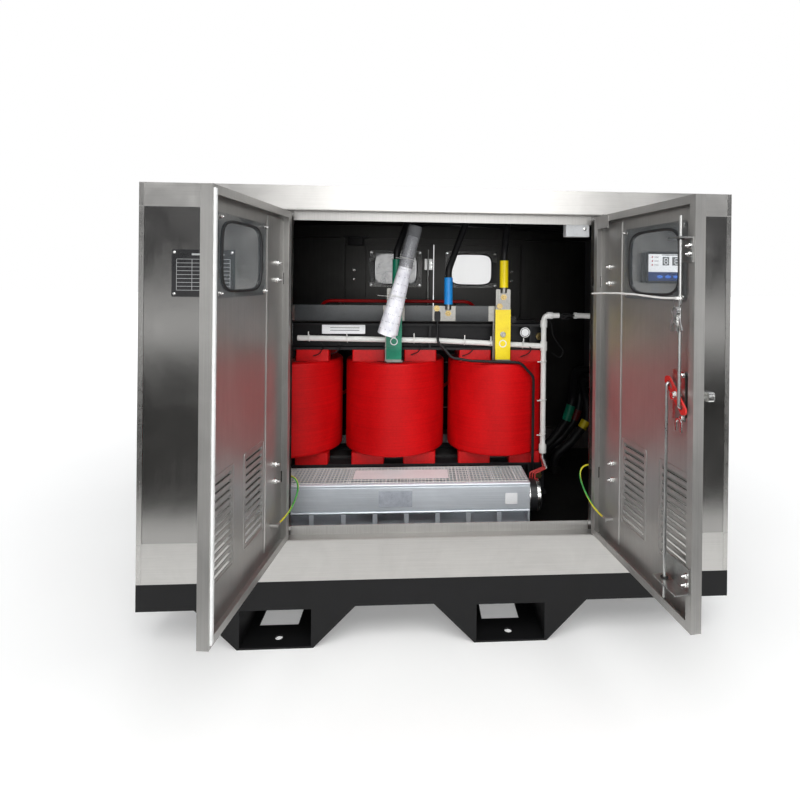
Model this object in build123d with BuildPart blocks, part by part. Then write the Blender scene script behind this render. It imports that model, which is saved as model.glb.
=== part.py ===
"""Dry type transformer in a stainless steel enclosure on a skid with fork pockets.

Millimetres, +Z up. The origin is on the ground, at the centre of the four anchor holes of the
fork pockets. The front, with its two open doors, faces -Y.
"""

import os
from math import cos, pi, radians, sin, tan

from build123d import *

os.makedirs("parts", exist_ok=True)

# Enclosure
enclosure_width = 1650.0
enclosure_depth = 1100.0
enclosure_x = 130.0
sheet = 2.0
foot_height = 112.0
beam_height = 73.0
rail_height = 110.0
doorway_width = 892.0
doorway_height = 900.0
fascia_height = 65.0
doorway_lift = 5.0
post_width = 40.0
post_front_leg = 14.0
panel_edge_gap = 1.0
panel_return = 32.0
floor_thickness = 4.0
running_gap = 0.3

# Skid
beam_width = 50.0
beam_wall = 5.0
fork_spacing = 650.0
fork_width = 205.0
fork_wall = 6.0
fork_floor = 5.0
gusset_reach = 114.0
gusset_plate = 5.0
anchor_hole_radius = 11.0
anchor_inset = 42.0
fork_window_width = 112.0
fork_window_length = 260.0
fork_window_start = 96.0
fork_window_shift = 14.0
cross_beam_shift = 30.0

# Doors
leaf_gap = 4.0
leaf_thickness = 24.0
leaf_lip = 18.0
left_open_angle = 96.0
right_open_angle = 98.0
hinge_radius = 5.0
hinge_length = 60.0
hinge_pin_radius = 2.6
hinge_bore_clearance = 0.08
hinge_notch = 1.2
hinge_heights = (490.0, 1030.0)
rest_lip = 22.0
window_from_hinge = 262.0
window_height_above_ground = 1062.0
window_width = 204.0
window_height = 150.0
window_corner = 42.0
window_bulge = 7.0
pane_width = 252.0
pane_height = 176.0
pane_thickness = 4.0
louvre_width = 96.0
louvre_pitch = 17.2
louvre_count = 12
louvre_depth = 7.0
louvre_height = 12.0
louvre_bottom = 402.0
louvre_from_hinge = (184.0, 350.0)

# Door lock with two rods
cam_from_hinge = 396.0
cam_height = 780.0
cam_arm = 30.0
cam_rest_angle = 45.0
cam_thickness = 4.0
cam_width = 20.0
cam_slot_play = 2.2
rod_diameter = 7.0
rod_stand_off = 16.0
rod_guide_play = 0.4
upper_rod_top_gap = 42.0
lower_rod_end_gap = 40.0
guide_thickness = 3.0
guide_reach = 34.0
guide_foot_height = 50.0
guide_half_width = 17.0
guide_edge_inset = 4.0
upper_guide_height = 1108.0
lower_guide_height = 384.0
lock_case_width = 44.0
lock_case_height = 104.0
spindle_radius = 6.0
spindle_play = 0.08
case_plate = 3.0
spindle_hole_extra = 1.5
spindle_nut = 8.5
handle_length = 96.0
handle_width = 20.0
handle_thickness = 11.0
handle_stand_off = 16.0
handle_base_radius = 17.0

# Keys on the upper rod
key_ring_height = 985.0
key_ring_radius = 12.0
key_head_radius = 11.0
key_blade_length = 34.0

# Striker on the right leaf, opposite the door switch
striker_start = 26.0
striker_end = 84.0
striker_bottom = 1160.0
striker_top = 1192.0
striker_depth = 6.0

# Transformer
transformer_x = -21.0
transformer_y = -130.0
coil_pitch = 357.0
coil_diameter = 341.0
coil_wall = 38.0
coil_bottom = 435.0
coil_height = 305.0
coil_round = 9.0
lv_coil_outer = 232.0
lv_coil_wall = 28.0
core_step_widths = (134.0, 118.0, 92.0)
core_step_depths = (70.0, 104.0, 130.0)
yoke_height = 112.0
block_height = 35.0
block_width = 108.0
block_length = 45.0
block_offset = 86.0
clamp_length = 1040.0
clamp_web = 8.0
clamp_flange = 38.0
clamp_height = 88.0
clamp_step = 3.0
clamp_rib_inset = 60.0
clamp_rib_shift = 118.0
tie_bolt_radius = 7.0
foot_channel_width = 84.0
foot_channel_wall = 6.0
foot_channel_length = 600.0
foot_channel_height = 42.0
foot_riser_depth = 44.0
pad_height = 14.0
pad_side = 78.0

# Low voltage bars and cables
bar_width = 48.0
bar_thickness = 6.0
bar_y = -287.0
bar_top = 985.0
bar_foot_lift = 4.0
bar_sleeve_wall = 1.2
bar_sleeve_bottom = 792.0
bar_sleeve_top = 918.0
neutral_height = 50.0
neutral_bottom = 878.0
neutral_gap = 12.0
neutral_left = -414.0
neutral_right = 330.0
riser_width = 22.0
riser_offset = -19.0
bar_foot_width = 32.0
bar_foot_offset = 12.0
foot_tab = 8.0
neutral_terminal_x = 142.0
neutral_terminal_width = 76.0
sleeve_radius = 14.0
cable_radius = 11.0
lug_width = 34.0
lug_thickness = 5.0
bolt_across_flats = 18.0
bolt_head_height = 7.0
ceiling_run_z = 1236.0
duct_ends = ((853.0, 400.0), (870.0, 372.0), (901.0, 316.0), (886.0, 344.0))
supply_radius = 17.0
supply_sleeve_wall = 2.5
supply_sleeve_starts = (12.0, 10.0, 5.0)
supply_sleeve_ends = (80.0, 58.0, 41.0)
gland_radius = 25.0
gland_height = 30.0
earth_cable_radius = 4.5

# Cooling fans
fan_left = -453.0
fan_right = 411.0
fan_depth = 148.0
fan_top = 385.0
fan_height = 133.0
fan_wall = 2.0
fan_rim = 10.0
fan_bar_count = 23
intake_height = 40.0
impeller_radius = 40.0
impeller_blades = 16
blade_depth = 11.0
blade_thickness = 1.5
blade_lean = 32.0
impeller_end_gap = 8.0
impeller_disc = 2.0
shaft_radius = 5.0
shaft_clearance = 0.08
motor_radius = 50.0
motor_length = 46.0

# Conduit
conduit_radius = 9.0
conduit_left = -338.0
conduit_left_z = 818.0
conduit_middle_x = 120.0
conduit_middle_z = 811.0
conduit_right_z = 793.0
conduit_drop_x = 482.0
conduit_bottom = 432.0
conduit_elbow_z = 897.0
lead_radius = 2.2
lead_gap = 0.05

# Controller and fittings
controller_centre_x = 772.0
controller_centre_z = 1057.0
controller_width = 160.0
controller_height = 88.0
controller_front = 30.0
controller_depth = 62.0
switch_x = 515.0
switch_width = 70.0
switch_height = 34.0
duct_width = 115.0
duct_depth = 120.0
duct_bottom = 377.0
duct_top = 1200.0
duct_y = 360.0

# Document roll tied to the middle phase cable
roll_radius = 36.0
roll_nest = 1.2
roll_top = (47.0, 1184.0)
roll_bottom = (-41.0, 838.0)

# Door earth wires
earth_wire_radius = 2.5
earth_stud_height = 377.0
earth_stud_from_hinge = 84.0
earth_lug_length = 16.0
earth_lug_depth = 22.0
earth_lug_radius = 3.6
earth_wire_lead = 17.0
earth_post_length = 15.0
earth_post_radius = 5.0
left_post = (-346.0, 448.0)
right_post = (600.0, 469.0)

# Levels and places worked out from the sizes above
front = -enclosure_depth / 2
rear = enclosure_depth / 2
left = enclosure_x - enclosure_width / 2
right = enclosure_x + enclosure_width / 2
beam_top = foot_height + beam_height
rail_top = beam_top + rail_height
sill = rail_top + doorway_lift
doorway_top = sill + doorway_height
roof_bottom = doorway_top + doorway_lift
roof_top = roof_bottom + fascia_height
floor_top = beam_top + floor_thickness
doorway_left = enclosure_x - doorway_width / 2
doorway_right = enclosure_x + doorway_width / 2
leaf_width = doorway_width / 2 - 1.5 * leaf_gap
leaf_height = doorway_height - 2 * leaf_gap
leaf_bottom = sill + leaf_gap
leaf_top = leaf_bottom + leaf_height
coil_top = coil_bottom + coil_height
lower_yoke_top = coil_bottom - block_height
upper_yoke_bottom = coil_top + block_height
core_bottom = lower_yoke_top - yoke_height
core_top = upper_yoke_bottom + yoke_height
coil_centres = [transformer_x + step * coil_pitch for step in (-1, 0, 1)]
clamp_face = core_step_depths[-1] / 2
upper_clamp_bottom = upper_yoke_bottom + clamp_step
lower_clamp_top = lower_yoke_top - clamp_step
clamp_tip = clamp_face + clamp_web + clamp_flange
coil_front = transformer_y - coil_diameter / 2


def hand_over(builder, label):
    """Names a finished piece and writes it to its own STEP file."""
    builder.part.label = label
    export_step(builder.part, f"parts/{label}.step")


def hex_heads(plane_y, places, sign=-1):
    """Adds hexagon heads to the piece being made, on an XZ face at plane_y."""
    face = Plane(origin=(0, plane_y, 0), x_dir=(1, 0, 0), z_dir=(0, sign, 0))
    with BuildSketch(face) as heads:
        with Locations(*[(x, -sign * z) if sign > 0 else (x, z) for x, z in places]):
            RegularPolygon(bolt_across_flats / 2, 6, major_radius=False)
    extrude(heads.sketch, amount=bolt_head_height)


def round_run(points, radii, radius):
    """Adds a round bar or cable along straight runs joined by tangent arcs."""
    with BuildLine() as path:
        FilletPolyline(*points, radius=radii)
    start = path.line @ 0
    heading = path.line % 0
    with BuildSketch(Plane(origin=start, z_dir=heading)) as section:
        Circle(radius)
    sweep(section.sketch, path=path.line)


def smooth_radii(points):
    """The largest fillet radius that each corner of a loose wire's route allows."""
    corners = [Vector(*point) for point in points]
    radii = []
    for before, corner, after in zip(corners, corners[1:], corners[2:]):
        turn = (corner - before).get_angle(after - corner)
        shorter = min((corner - before).length, (after - corner).length)
        radii.append(0.45 * shorter / tan(radians(turn / 2)))
    return radii


# Skid: welded channel ring with cross beams
with BuildPart() as skid_frame:
    with BuildSketch(Plane.XY.offset(foot_height)):
        with Locations((enclosure_x, 0)):
            Rectangle(enclosure_width, enclosure_depth)
            Rectangle(enclosure_width - 2 * beam_wall, enclosure_depth - 2 * beam_wall, mode=Mode.SUBTRACT)
    extrude(amount=beam_height)
    for level in (foot_height, beam_top - beam_wall):
        with BuildSketch(Plane.XY.offset(level)):
            with Locations((enclosure_x, 0)):
                Rectangle(enclosure_width, enclosure_depth)
                Rectangle(
                    enclosure_width - 2 * beam_width,
                    enclosure_depth - 2 * beam_width,
                    mode=Mode.SUBTRACT,
                )
        extrude(amount=beam_wall)
    cross_places = [coil_centres[0], coil_centres[-1], (coil_centres[-1] + right) / 2 + cross_beam_shift]
    with BuildSketch(Plane.XY.offset(foot_height)):
        with Locations(*[(x, 0) for x in cross_places]):
            Rectangle(beam_width, enclosure_depth - 2 * beam_wall)
    extrude(amount=beam_height)
    with BuildSketch(Plane.XZ.offset(enclosure_depth / 2 - beam_width)):
        for x in cross_places:
            with Locations((x + beam_wall, foot_height + beam_height / 2)):
                Rectangle(beam_width, beam_height - 2 * beam_wall)
    extrude(amount=-(enclosure_depth - 2 * beam_width), mode=Mode.SUBTRACT)
hand_over(skid_frame, "skid_frame")

# Fork pockets: open channels that run through under the skid, with end gussets
with BuildPart() as fork_pockets:
    with BuildSketch(Plane.XZ.offset(enclosure_depth / 2)):
        with Locations(*[(side * fork_spacing / 2, foot_height / 2) for side in (-1, 1)]):
            Rectangle(fork_width, foot_height)
            Rectangle(fork_width - 2 * fork_wall, foot_height - 2 * fork_floor, mode=Mode.SUBTRACT)
    extrude(amount=-enclosure_depth)
    half_width = fork_width / 2
    for end in (front, rear - gusset_plate):
        with BuildSketch(Plane.XZ.offset(-end)):
            for side in (-1, 1):
                centre = side * fork_spacing / 2
                for hand in (-1, 1):
                    with BuildLine():
                        Polyline(
                            (centre + hand * half_width, 0),
                            (centre + hand * (half_width + gusset_reach), foot_height),
                            (centre + hand * half_width, foot_height),
                            close=True,
                        )
                    make_face()
        extrude(amount=-gusset_plate)
    window_ends = (front + fork_window_start, rear - fork_window_start)
    with BuildSketch(Plane.XY):
        with Locations(
            *[
                (side * fork_spacing / 2 - fork_window_shift, end + inward * fork_window_length / 2)
                for side in (-1, 1)
                for end, inward in ((window_ends[0], 1), (window_ends[1], -1))
            ]
        ):
            Rectangle(fork_window_width, fork_window_length)
        with GridLocations(fork_spacing, enclosure_depth - 2 * anchor_inset, 2, 2):
            Circle(anchor_hole_radius)
    extrude(amount=fork_floor, mode=Mode.SUBTRACT)
hand_over(fork_pockets, "fork_pockets")

# Supply cables: thick cables from the floor, curving up into the duct on the right hand wall
supply_base = floor_top + gland_height
duct_face = right - 2 * sheet - running_gap / 3 - duct_width
supply_routes = [
    [
        (572.0, 250.0, supply_base),
        (572.0, 250.0, 258.0),
        (644.0, 250.0, 322.0),
        (702.0, 250.0, 396.0),
        (732.0, 252.0, 488.0),
        (775.0, 346.0, 610.0),
        (duct_face, 346.0, 610.0),
    ],
    [
        (618.0, 300.0, supply_base),
        (618.0, 300.0, 256.0),
        (700.0, 300.0, 316.0),
        (752.0, 300.0, 386.0),
        (776.0, 302.0, 450.0),
        (792.0, 325.0, 515.0),
        (duct_face, 325.0, 515.0),
    ],
    [
        (652.0, 238.0, supply_base),
        (652.0, 238.0, 256.0),
        (726.0, 238.0, 316.0),
        (770.0, 242.0, 370.0),
        (798.0, 246.0, 416.0),
        (800.0, 262.0, 480.0),
        (792.0, 330.0, 565.0),
        (duct_face, 330.0, 565.0),
    ],
]
supply_bends = [
    (60.0, 100.0, 55.0, 45.0, 36.0),
    (60.0, 80.0, 50.0, 45.0, 25.0),
    (60.0, 80.0, 45.0, 45.0, 60.0, 19.0),
]

# Floor plate with the glands of the supply cables
with BuildPart() as floor_plate:
    with BuildSketch(Plane.XY.offset(beam_top)):
        with Locations((enclosure_x, 0)):
            Rectangle(enclosure_width - 2 * sheet - 2, enclosure_depth - 2 * sheet - 2)
    extrude(amount=floor_thickness)
    with BuildSketch(Plane.XY.offset(beam_top)):
        with Locations(*[route[0][:2] for route in supply_routes]):
            Circle(gland_radius)
    extrude(amount=floor_thickness + gland_height)
hand_over(floor_plate, "floor_plate")


# Base rail: folded band all round, with a top flange
with BuildPart() as base_rail:
    with BuildSketch(Plane.XY.offset(beam_top)):
        with Locations((enclosure_x, 0)):
            Rectangle(enclosure_width, enclosure_depth)
            Rectangle(enclosure_width - 2 * sheet, enclosure_depth - 2 * sheet, mode=Mode.SUBTRACT)
    extrude(amount=rail_height)
    with BuildSketch(Plane.XY.offset(rail_top - sheet)):
        with Locations((enclosure_x, 0)):
            Rectangle(enclosure_width, enclosure_depth)
            Rectangle(enclosure_width - 2 * post_width, enclosure_depth - 2 * post_width, mode=Mode.SUBTRACT)
    extrude(amount=sheet)
hand_over(base_rail, "base_rail")

# Roof: folded pan with a stiffened inner lip
with BuildPart() as roof:
    with BuildSketch(Plane.XY.offset(roof_bottom)):
        with Locations((enclosure_x, 0)):
            Rectangle(enclosure_width, enclosure_depth)
    extrude(amount=fascia_height)
    with BuildSketch(Plane.XY.offset(roof_bottom)):
        with Locations((enclosure_x, 0)):
            Rectangle(enclosure_width - 2 * sheet, enclosure_depth - 2 * sheet)
    extrude(amount=fascia_height - sheet, mode=Mode.SUBTRACT)
    with BuildSketch(Plane.XY.offset(roof_bottom)):
        with Locations((enclosure_x, 0)):
            Rectangle(enclosure_width, enclosure_depth)
            Rectangle(enclosure_width - 2 * post_width, enclosure_depth - 2 * post_width, mode=Mode.SUBTRACT)
    extrude(amount=sheet)
hand_over(roof, "roof")

# Corner posts: folded angles between the base rail and the roof
with BuildPart() as corner_posts:
    post_x = enclosure_width / 2
    post_y = enclosure_depth / 2
    with BuildSketch(Plane.XY.offset(rail_top)):
        for sx in (-1, 1):
            for sy in (-1, 1):
                with BuildLine():
                    Polyline(
                        (enclosure_x + sx * post_x, sy * post_y),
                        (enclosure_x + sx * (post_x - post_front_leg), sy * post_y),
                        (enclosure_x + sx * (post_x - post_front_leg), sy * (post_y - sheet)),
                        (enclosure_x + sx * (post_x - sheet), sy * (post_y - sheet)),
                        (enclosure_x + sx * (post_x - sheet), sy * (post_y - post_width)),
                        (enclosure_x + sx * post_x, sy * (post_y - post_width)),
                        close=True,
                    )
                make_face()
    extrude(amount=roof_bottom - rail_top)
hand_over(corner_posts, "corner_posts")


def frame_knuckles(hinge_x, face_y):
    """Adds the fixed lower halves of the hinges, with their pins, to a front or rear panel."""
    for level in hinge_heights:
        with BuildSketch(Plane.XY.offset(level - hinge_length / 2)) as barrel:
            with Locations((hinge_x, face_y)):
                Circle(hinge_radius)
        extrude(barrel.sketch, amount=hinge_length / 2 - running_gap)
        with BuildSketch(Plane.XY.offset(level - hinge_length / 2)) as pin:
            with Locations((hinge_x, face_y)):
                Circle(hinge_pin_radius)
        extrude(pin.sketch, amount=hinge_length)


def panel_outline(outer_x, doorway_edge, face_y, inward):
    """Adds one fixed panel: a sheet with a jamb return at the doorway and a lip for the door."""
    hand = 1 if doorway_edge > outer_x else -1
    near = outer_x + hand * (post_front_leg + panel_edge_gap)
    edge = doorway_edge
    with BuildSketch(Plane.XY.offset(rail_top)) as profile:
        with BuildLine():
            Polyline(
                (near, face_y),
                (edge, face_y),
                (edge, face_y + inward * panel_return),
                (edge + hand * rest_lip, face_y + inward * panel_return),
                (edge + hand * rest_lip, face_y + inward * (panel_return + sheet)),
                (edge - hand * sheet, face_y + inward * (panel_return + sheet)),
                (edge - hand * sheet, face_y + inward * sheet),
                (near, face_y + inward * sheet),
                close=True,
            )
        make_face()
    extrude(profile.sketch, amount=roof_bottom - rail_top)


def hinge_notches(hinge_x, face_y, upper_half):
    """Cuts clearance for the other half of each hinge."""
    for level in hinge_heights:
        start = level - running_gap if upper_half else level - hinge_length / 2 - 1
        with BuildSketch(Plane.XY.offset(start)) as notch:
            with Locations((hinge_x, face_y)):
                Circle(hinge_radius + hinge_notch)
        extrude(notch.sketch, amount=hinge_length / 2 + 1, mode=Mode.SUBTRACT)


left_hinge_x = doorway_left + leaf_gap / 2
right_hinge_x = doorway_right - leaf_gap / 2

# Front panels: left one carries the rating plate, right one the temperature controller
with BuildPart() as front_panels:
    panel_outline(left, doorway_left, front, 1)
    panel_outline(right, doorway_right, front, 1)
    hinge_notches(left_hinge_x, front, True)
    hinge_notches(right_hinge_x, front, True)
    with BuildSketch(Plane.XZ.offset(enclosure_depth / 2)):
        with Locations((controller_centre_x, controller_centre_z)):
            Rectangle(controller_width - 8, controller_height - 8)
    extrude(amount=-sheet, mode=Mode.SUBTRACT)
    frame_knuckles(left_hinge_x, front)
    frame_knuckles(right_hinge_x, front)
    with BuildSketch(Plane.XZ.offset(enclosure_depth / 2 - sheet)):
        with Locations(left_post, right_post):
            Circle(earth_post_radius)
    extrude(amount=-earth_post_length)
hand_over(front_panels, "front_panels")

# Rear panels: the same folded panels either side of the rear doors
with BuildPart() as rear_panels:
    panel_outline(left, doorway_left, rear, -1)
    panel_outline(right, doorway_right, rear, -1)
    hinge_notches(left_hinge_x, rear, True)
    hinge_notches(right_hinge_x, rear, True)
    frame_knuckles(left_hinge_x, rear)
    frame_knuckles(right_hinge_x, rear)
hand_over(rear_panels, "rear_panels")


def louvre_field(centre_x, face_y, bottom, count, width):
    """Presses a column of louvre hoods outwards, towards -Y, from a sheet with its face at face_y."""
    levels = [bottom + louvre_height / 2 + step * louvre_pitch for step in range(count)]
    skin = sheet * 0.7
    with BuildSketch(Plane.YZ.offset(centre_x)) as hoods:
        for level in levels:
            with BuildLine():
                Polyline(
                    (face_y, level + louvre_height / 2),
                    (face_y - louvre_depth, level - louvre_height / 2),
                    (face_y, level - louvre_height / 2),
                    close=True,
                )
            make_face()
    extrude(hoods.sketch, amount=width / 2, both=True)
    with BuildSketch(Plane.YZ.offset(centre_x)) as hollows:
        for level in levels:
            with BuildLine():
                Polyline(
                    (face_y + sheet, level + louvre_height / 2 - 2 * skin),
                    (face_y, level + louvre_height / 2 - 2 * skin),
                    (face_y - louvre_depth + 1.2 * skin, level - louvre_height / 2),
                    (face_y + sheet, level - louvre_height / 2),
                    close=True,
                )
            make_face()
    extrude(hollows.sketch, amount=width / 2 - skin, both=True, mode=Mode.SUBTRACT)


# Side panels: flat sheets with two louvre fields low down
def side_panel_part(hand):
    """One side panel, made facing -Y at the origin and then turned to its side."""
    span = enclosure_depth - 2 * post_width + 10
    with BuildPart() as panel:
        with BuildSketch(Plane.XZ.offset(0)):
            with Locations((0, (rail_top + roof_bottom) / 2)):
                Rectangle(span, roof_bottom - rail_top)
        extrude(amount=-sheet)
        for centre in (-span / 4, span / 4):
            louvre_field(centre, 0, louvre_bottom, louvre_count, louvre_width * 1.6)
    x_face = (right if hand > 0 else left) - hand * (sheet + running_gap / 3)
    return Pos(x_face, 0, 0) * Rot(0, 0, 90 * hand) * panel.part


side_panels = Compound(children=[side_panel_part(-1), side_panel_part(1)])
side_panels.label = "side_panels"
export_step(side_panels, "parts/side_panels.step")

# Doorway rests: top and bottom lips that the closed doors meet, front and rear
with BuildPart() as doorway_rests:
    for face_y, inward in ((front, 1), (rear, -1)):
        for level, rise in ((rail_top, 1), (roof_bottom, -1)):
            lip_back = face_y + inward * (panel_return + sheet)
            low = min(level, level + rise * sheet)
            with BuildSketch(Plane.XY.offset(low)):
                with Locations((enclosure_x, face_y + inward * (panel_return + sheet) / 2)):
                    Rectangle(doorway_width - 2 * running_gap, panel_return - sheet)
            extrude(amount=sheet)
            lip_low = min(level, level + rise * (doorway_lift + rest_lip))
            with BuildSketch(Plane.XY.offset(lip_low)):
                with Locations((enclosure_x, lip_back - inward * sheet / 2)):
                    Rectangle(doorway_width - 2 * rest_lip - 2 * running_gap, sheet)
            extrude(amount=doorway_lift + rest_lip)
hand_over(doorway_rests, "doorway_rests")


def window_outline(centre_s, centre_z):
    """The rounded window outline with slightly bowed sides, on the leaf's face."""
    half_w = window_width / 2 - window_bulge
    half_h = window_height / 2 - window_bulge
    bow = window_bulge
    with BuildSketch(Plane.XZ) as face:
        with BuildLine():
            for turn in (1, -1):
                wide = turn * half_w
                high = turn * half_h
                ThreePointArc((-wide, -high), (0, -high - turn * bow), (wide, -high))
                ThreePointArc((wide, -high), (wide + turn * bow, 0), (wide, high))
        make_face()
        fillet(face.vertices(), window_corner)
    return face.sketch.moved(Location((centre_s, 0, centre_z)))


# Door leaf, made closed in its own frame: hinge axis at x = 0, outer face at y = 0
def door_leaf():
    """The folded leaf: outer sheet, returned edges, inner lips, window, louvres and hinge halves."""
    start = leaf_gap / 2
    centre = start + leaf_width / 2
    with BuildPart() as leaf:
        with BuildSketch(Plane.XZ):
            with Locations((centre, leaf_bottom + leaf_height / 2)):
                Rectangle(leaf_width, leaf_height)
        extrude(amount=-leaf_thickness)
        with BuildSketch(Plane.XZ.offset(-sheet)):
            with Locations((centre, leaf_bottom + leaf_height / 2)):
                Rectangle(leaf_width - 2 * sheet, leaf_height - 2 * sheet)
        extrude(amount=-(leaf_thickness - 2 * sheet), mode=Mode.SUBTRACT)
        with BuildSketch(Plane.XZ.offset(-leaf_thickness + sheet)):
            with Locations((centre, leaf_bottom + leaf_height / 2)):
                Rectangle(leaf_width - 2 * leaf_lip, leaf_height - 2 * leaf_lip)
        extrude(amount=-sheet, mode=Mode.SUBTRACT)
        opening = window_outline(window_from_hinge, window_height_above_ground)
        extrude(opening, amount=-sheet, mode=Mode.SUBTRACT)
        for field_x in louvre_from_hinge:
            louvre_field(field_x, 0, louvre_bottom, louvre_count, louvre_width)
        hinge_notches(0, 0, False)
        for level in hinge_heights:
            with BuildSketch(Plane.XY.offset(level)):
                Circle(hinge_radius)
                Circle(hinge_pin_radius + hinge_bore_clearance, mode=Mode.SUBTRACT)
            extrude(amount=hinge_length / 2)
            with BuildSketch(Plane.XY.offset(level - hinge_length / 2 - 1)):
                Circle(hinge_pin_radius + hinge_bore_clearance)
            extrude(amount=hinge_length + 2, mode=Mode.SUBTRACT)
    return leaf.part


def earth_stud():
    """Adds the earth stud on the leaf's sheet, with the lug that points to the hinge."""
    with BuildSketch(Plane.XZ.offset(-sheet)) as stud:
        with Locations((earth_stud_from_hinge, earth_stud_height)):
            Circle(earth_post_radius)
    extrude(stud.sketch, amount=-(earth_lug_depth + earth_lug_radius - sheet))
    with BuildSketch(Plane.YZ.offset(earth_stud_from_hinge - earth_lug_length)) as lug:
        with Locations((earth_lug_depth, earth_stud_height)):
            Circle(earth_lug_radius)
    extrude(lug.sketch, amount=earth_lug_length)


def front_leaf():
    """The front leaf without a lock, with its earth stud."""
    with BuildPart() as leaf:
        add(door_leaf())
        earth_stud()
    return leaf.part


def drilled_leaf(with_striker):
    """The leaf with the lock: the spindle's hole and, in front, the earth stud and the striker."""
    with BuildPart() as leaf:
        add(door_leaf())
        if with_striker:
            earth_stud()
            middle = (striker_start + striker_end) / 2
            with BuildSketch(Plane.XZ.offset(-leaf_thickness)):
                with Locations((middle, (striker_bottom + striker_top) / 2)):
                    Rectangle(striker_end - striker_start, striker_top - striker_bottom)
            extrude(amount=-sheet)
            with BuildSketch(Plane.XY.offset(striker_bottom)):
                with Locations((middle, leaf_thickness + striker_depth / 2)):
                    Rectangle(striker_end - striker_start, striker_depth)
            extrude(amount=sheet)
        with BuildSketch(Plane.XZ):
            with Locations((cam_from_hinge, cam_height)):
                Circle(spindle_radius + spindle_hole_extra)
        extrude(amount=-leaf_thickness, mode=Mode.SUBTRACT)
    return leaf.part


def window_pane():
    """Clear pane behind the window cut-out, inside the leaf."""
    with BuildPart() as pane:
        with BuildSketch(Plane.XZ.offset(-sheet)):
            with Locations((window_from_hinge, window_height_above_ground)):
                RectangleRounded(pane_width, pane_height, 10)
        extrude(amount=-pane_thickness)
    return pane.part


# Lock: case, guides, cam with handle and two rods, in the leaf's own frame
rod_y = leaf_thickness + rod_stand_off
pin_reach = cam_arm * cos(radians(cam_rest_angle))
lower_rod_s = cam_from_hinge - pin_reach
upper_rod_s = cam_from_hinge + pin_reach
cam_front = rod_y - cam_thickness / 2 - rod_diameter
pin_rise = cam_arm * sin(radians(cam_rest_angle))
upper_rod_top = leaf_top - upper_rod_top_gap
lower_rod_end = leaf_bottom + lower_rod_end_gap
case_back = leaf_thickness


def lock_case():
    """Lock case on the leaf's inner face, with the two rod guides bolted to the leaf."""
    with BuildPart() as case:
        with BuildSketch(Plane.XZ.offset(-sheet)):
            with Locations((cam_from_hinge, cam_height)):
                Rectangle(lock_case_width - 10, lock_case_height - 16)
                Circle(spindle_radius + spindle_play, mode=Mode.SUBTRACT)
        extrude(amount=-(leaf_thickness + case_plate - sheet))
        with BuildSketch(Plane.XZ.offset(-leaf_thickness)):
            with Locations((cam_from_hinge + 2, cam_height)):
                Rectangle(lock_case_width - 4, lock_case_height)
            with Locations((cam_from_hinge, cam_height)):
                Circle(spindle_radius + spindle_play, mode=Mode.SUBTRACT)
        extrude(amount=-case_plate)
        guide_end = leaf_gap / 2 + leaf_width - guide_edge_inset
        for rod_s, level in ((upper_rod_s, upper_guide_height), (lower_rod_s, lower_guide_height)):
            guide_start = rod_s - guide_half_width
            with BuildSketch(Plane.XY.offset(level - guide_thickness / 2)):
                with Locations(((guide_start + guide_end) / 2, leaf_thickness + guide_reach / 2)):
                    Rectangle(guide_end - guide_start, guide_reach)
                with Locations((rod_s, rod_y)):
                    Circle(rod_diameter / 2 + rod_guide_play, mode=Mode.SUBTRACT)
            extrude(amount=guide_thickness)
            side = -1 if level > cam_height else 1
            with BuildSketch(Plane.XZ.offset(-leaf_thickness)):
                with Locations(((guide_start + guide_end) / 2, level + side * guide_foot_height / 2)):
                    Rectangle(guide_end - guide_start, guide_foot_height)
            extrude(amount=-guide_thickness)
    return case.part


def lock_cam():
    """Two armed cam with a radial slot for each rod's hook."""
    tilt = 180 - cam_rest_angle
    with BuildPart() as cam:
        with BuildSketch(Plane.XZ.offset(-cam_front)):
            with Locations(Location((cam_from_hinge, cam_height), tilt)):
                SlotOverall(2 * cam_arm + cam_width + 14, cam_width)
                Circle(spindle_radius, mode=Mode.SUBTRACT)
            for turn in (tilt, tilt + 180):
                reach = (cam_arm + pin_reach) / 2
                spot = (cam_from_hinge + reach * cos(radians(turn)), cam_height + reach * sin(radians(turn)))
                with Locations(Location(spot, turn)):
                    SlotOverall(
                        cam_arm - pin_reach + rod_diameter + 2 * cam_slot_play,
                        rod_diameter + 2 * cam_slot_play,
                        mode=Mode.SUBTRACT,
                    )
        extrude(amount=-cam_thickness)
    return cam.part


def door_handle():
    """Outside lever handle with its round base and the spindle through the leaf."""
    with BuildPart() as handle:
        with BuildSketch(Plane.XZ.offset(running_gap)):
            with Locations((cam_from_hinge, cam_height)):
                Circle(handle_base_radius)
        extrude(amount=handle_stand_off - 4)
        with BuildSketch(Plane.XZ.offset(handle_stand_off - 5)):
            with Locations((cam_from_hinge - handle_length / 2 + handle_width / 2, cam_height)):
                SlotOverall(handle_length, handle_width)
        extrude(amount=handle_thickness)
        fillet(handle.faces().sort_by(Axis.Y)[0].edges(), 3.5)
        with BuildSketch(Plane.XZ.offset(running_gap)):
            with Locations((cam_from_hinge, cam_height)):
                Circle(spindle_radius)
        extrude(amount=-(cam_front + cam_thickness + 8 + running_gap))
        with BuildSketch(Plane.XZ.offset(-(cam_front + cam_thickness))):
            with Locations((cam_from_hinge, cam_height)):
                RegularPolygon(spindle_nut, 6, major_radius=False)
        extrude(amount=-6)
    return handle.part


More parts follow.
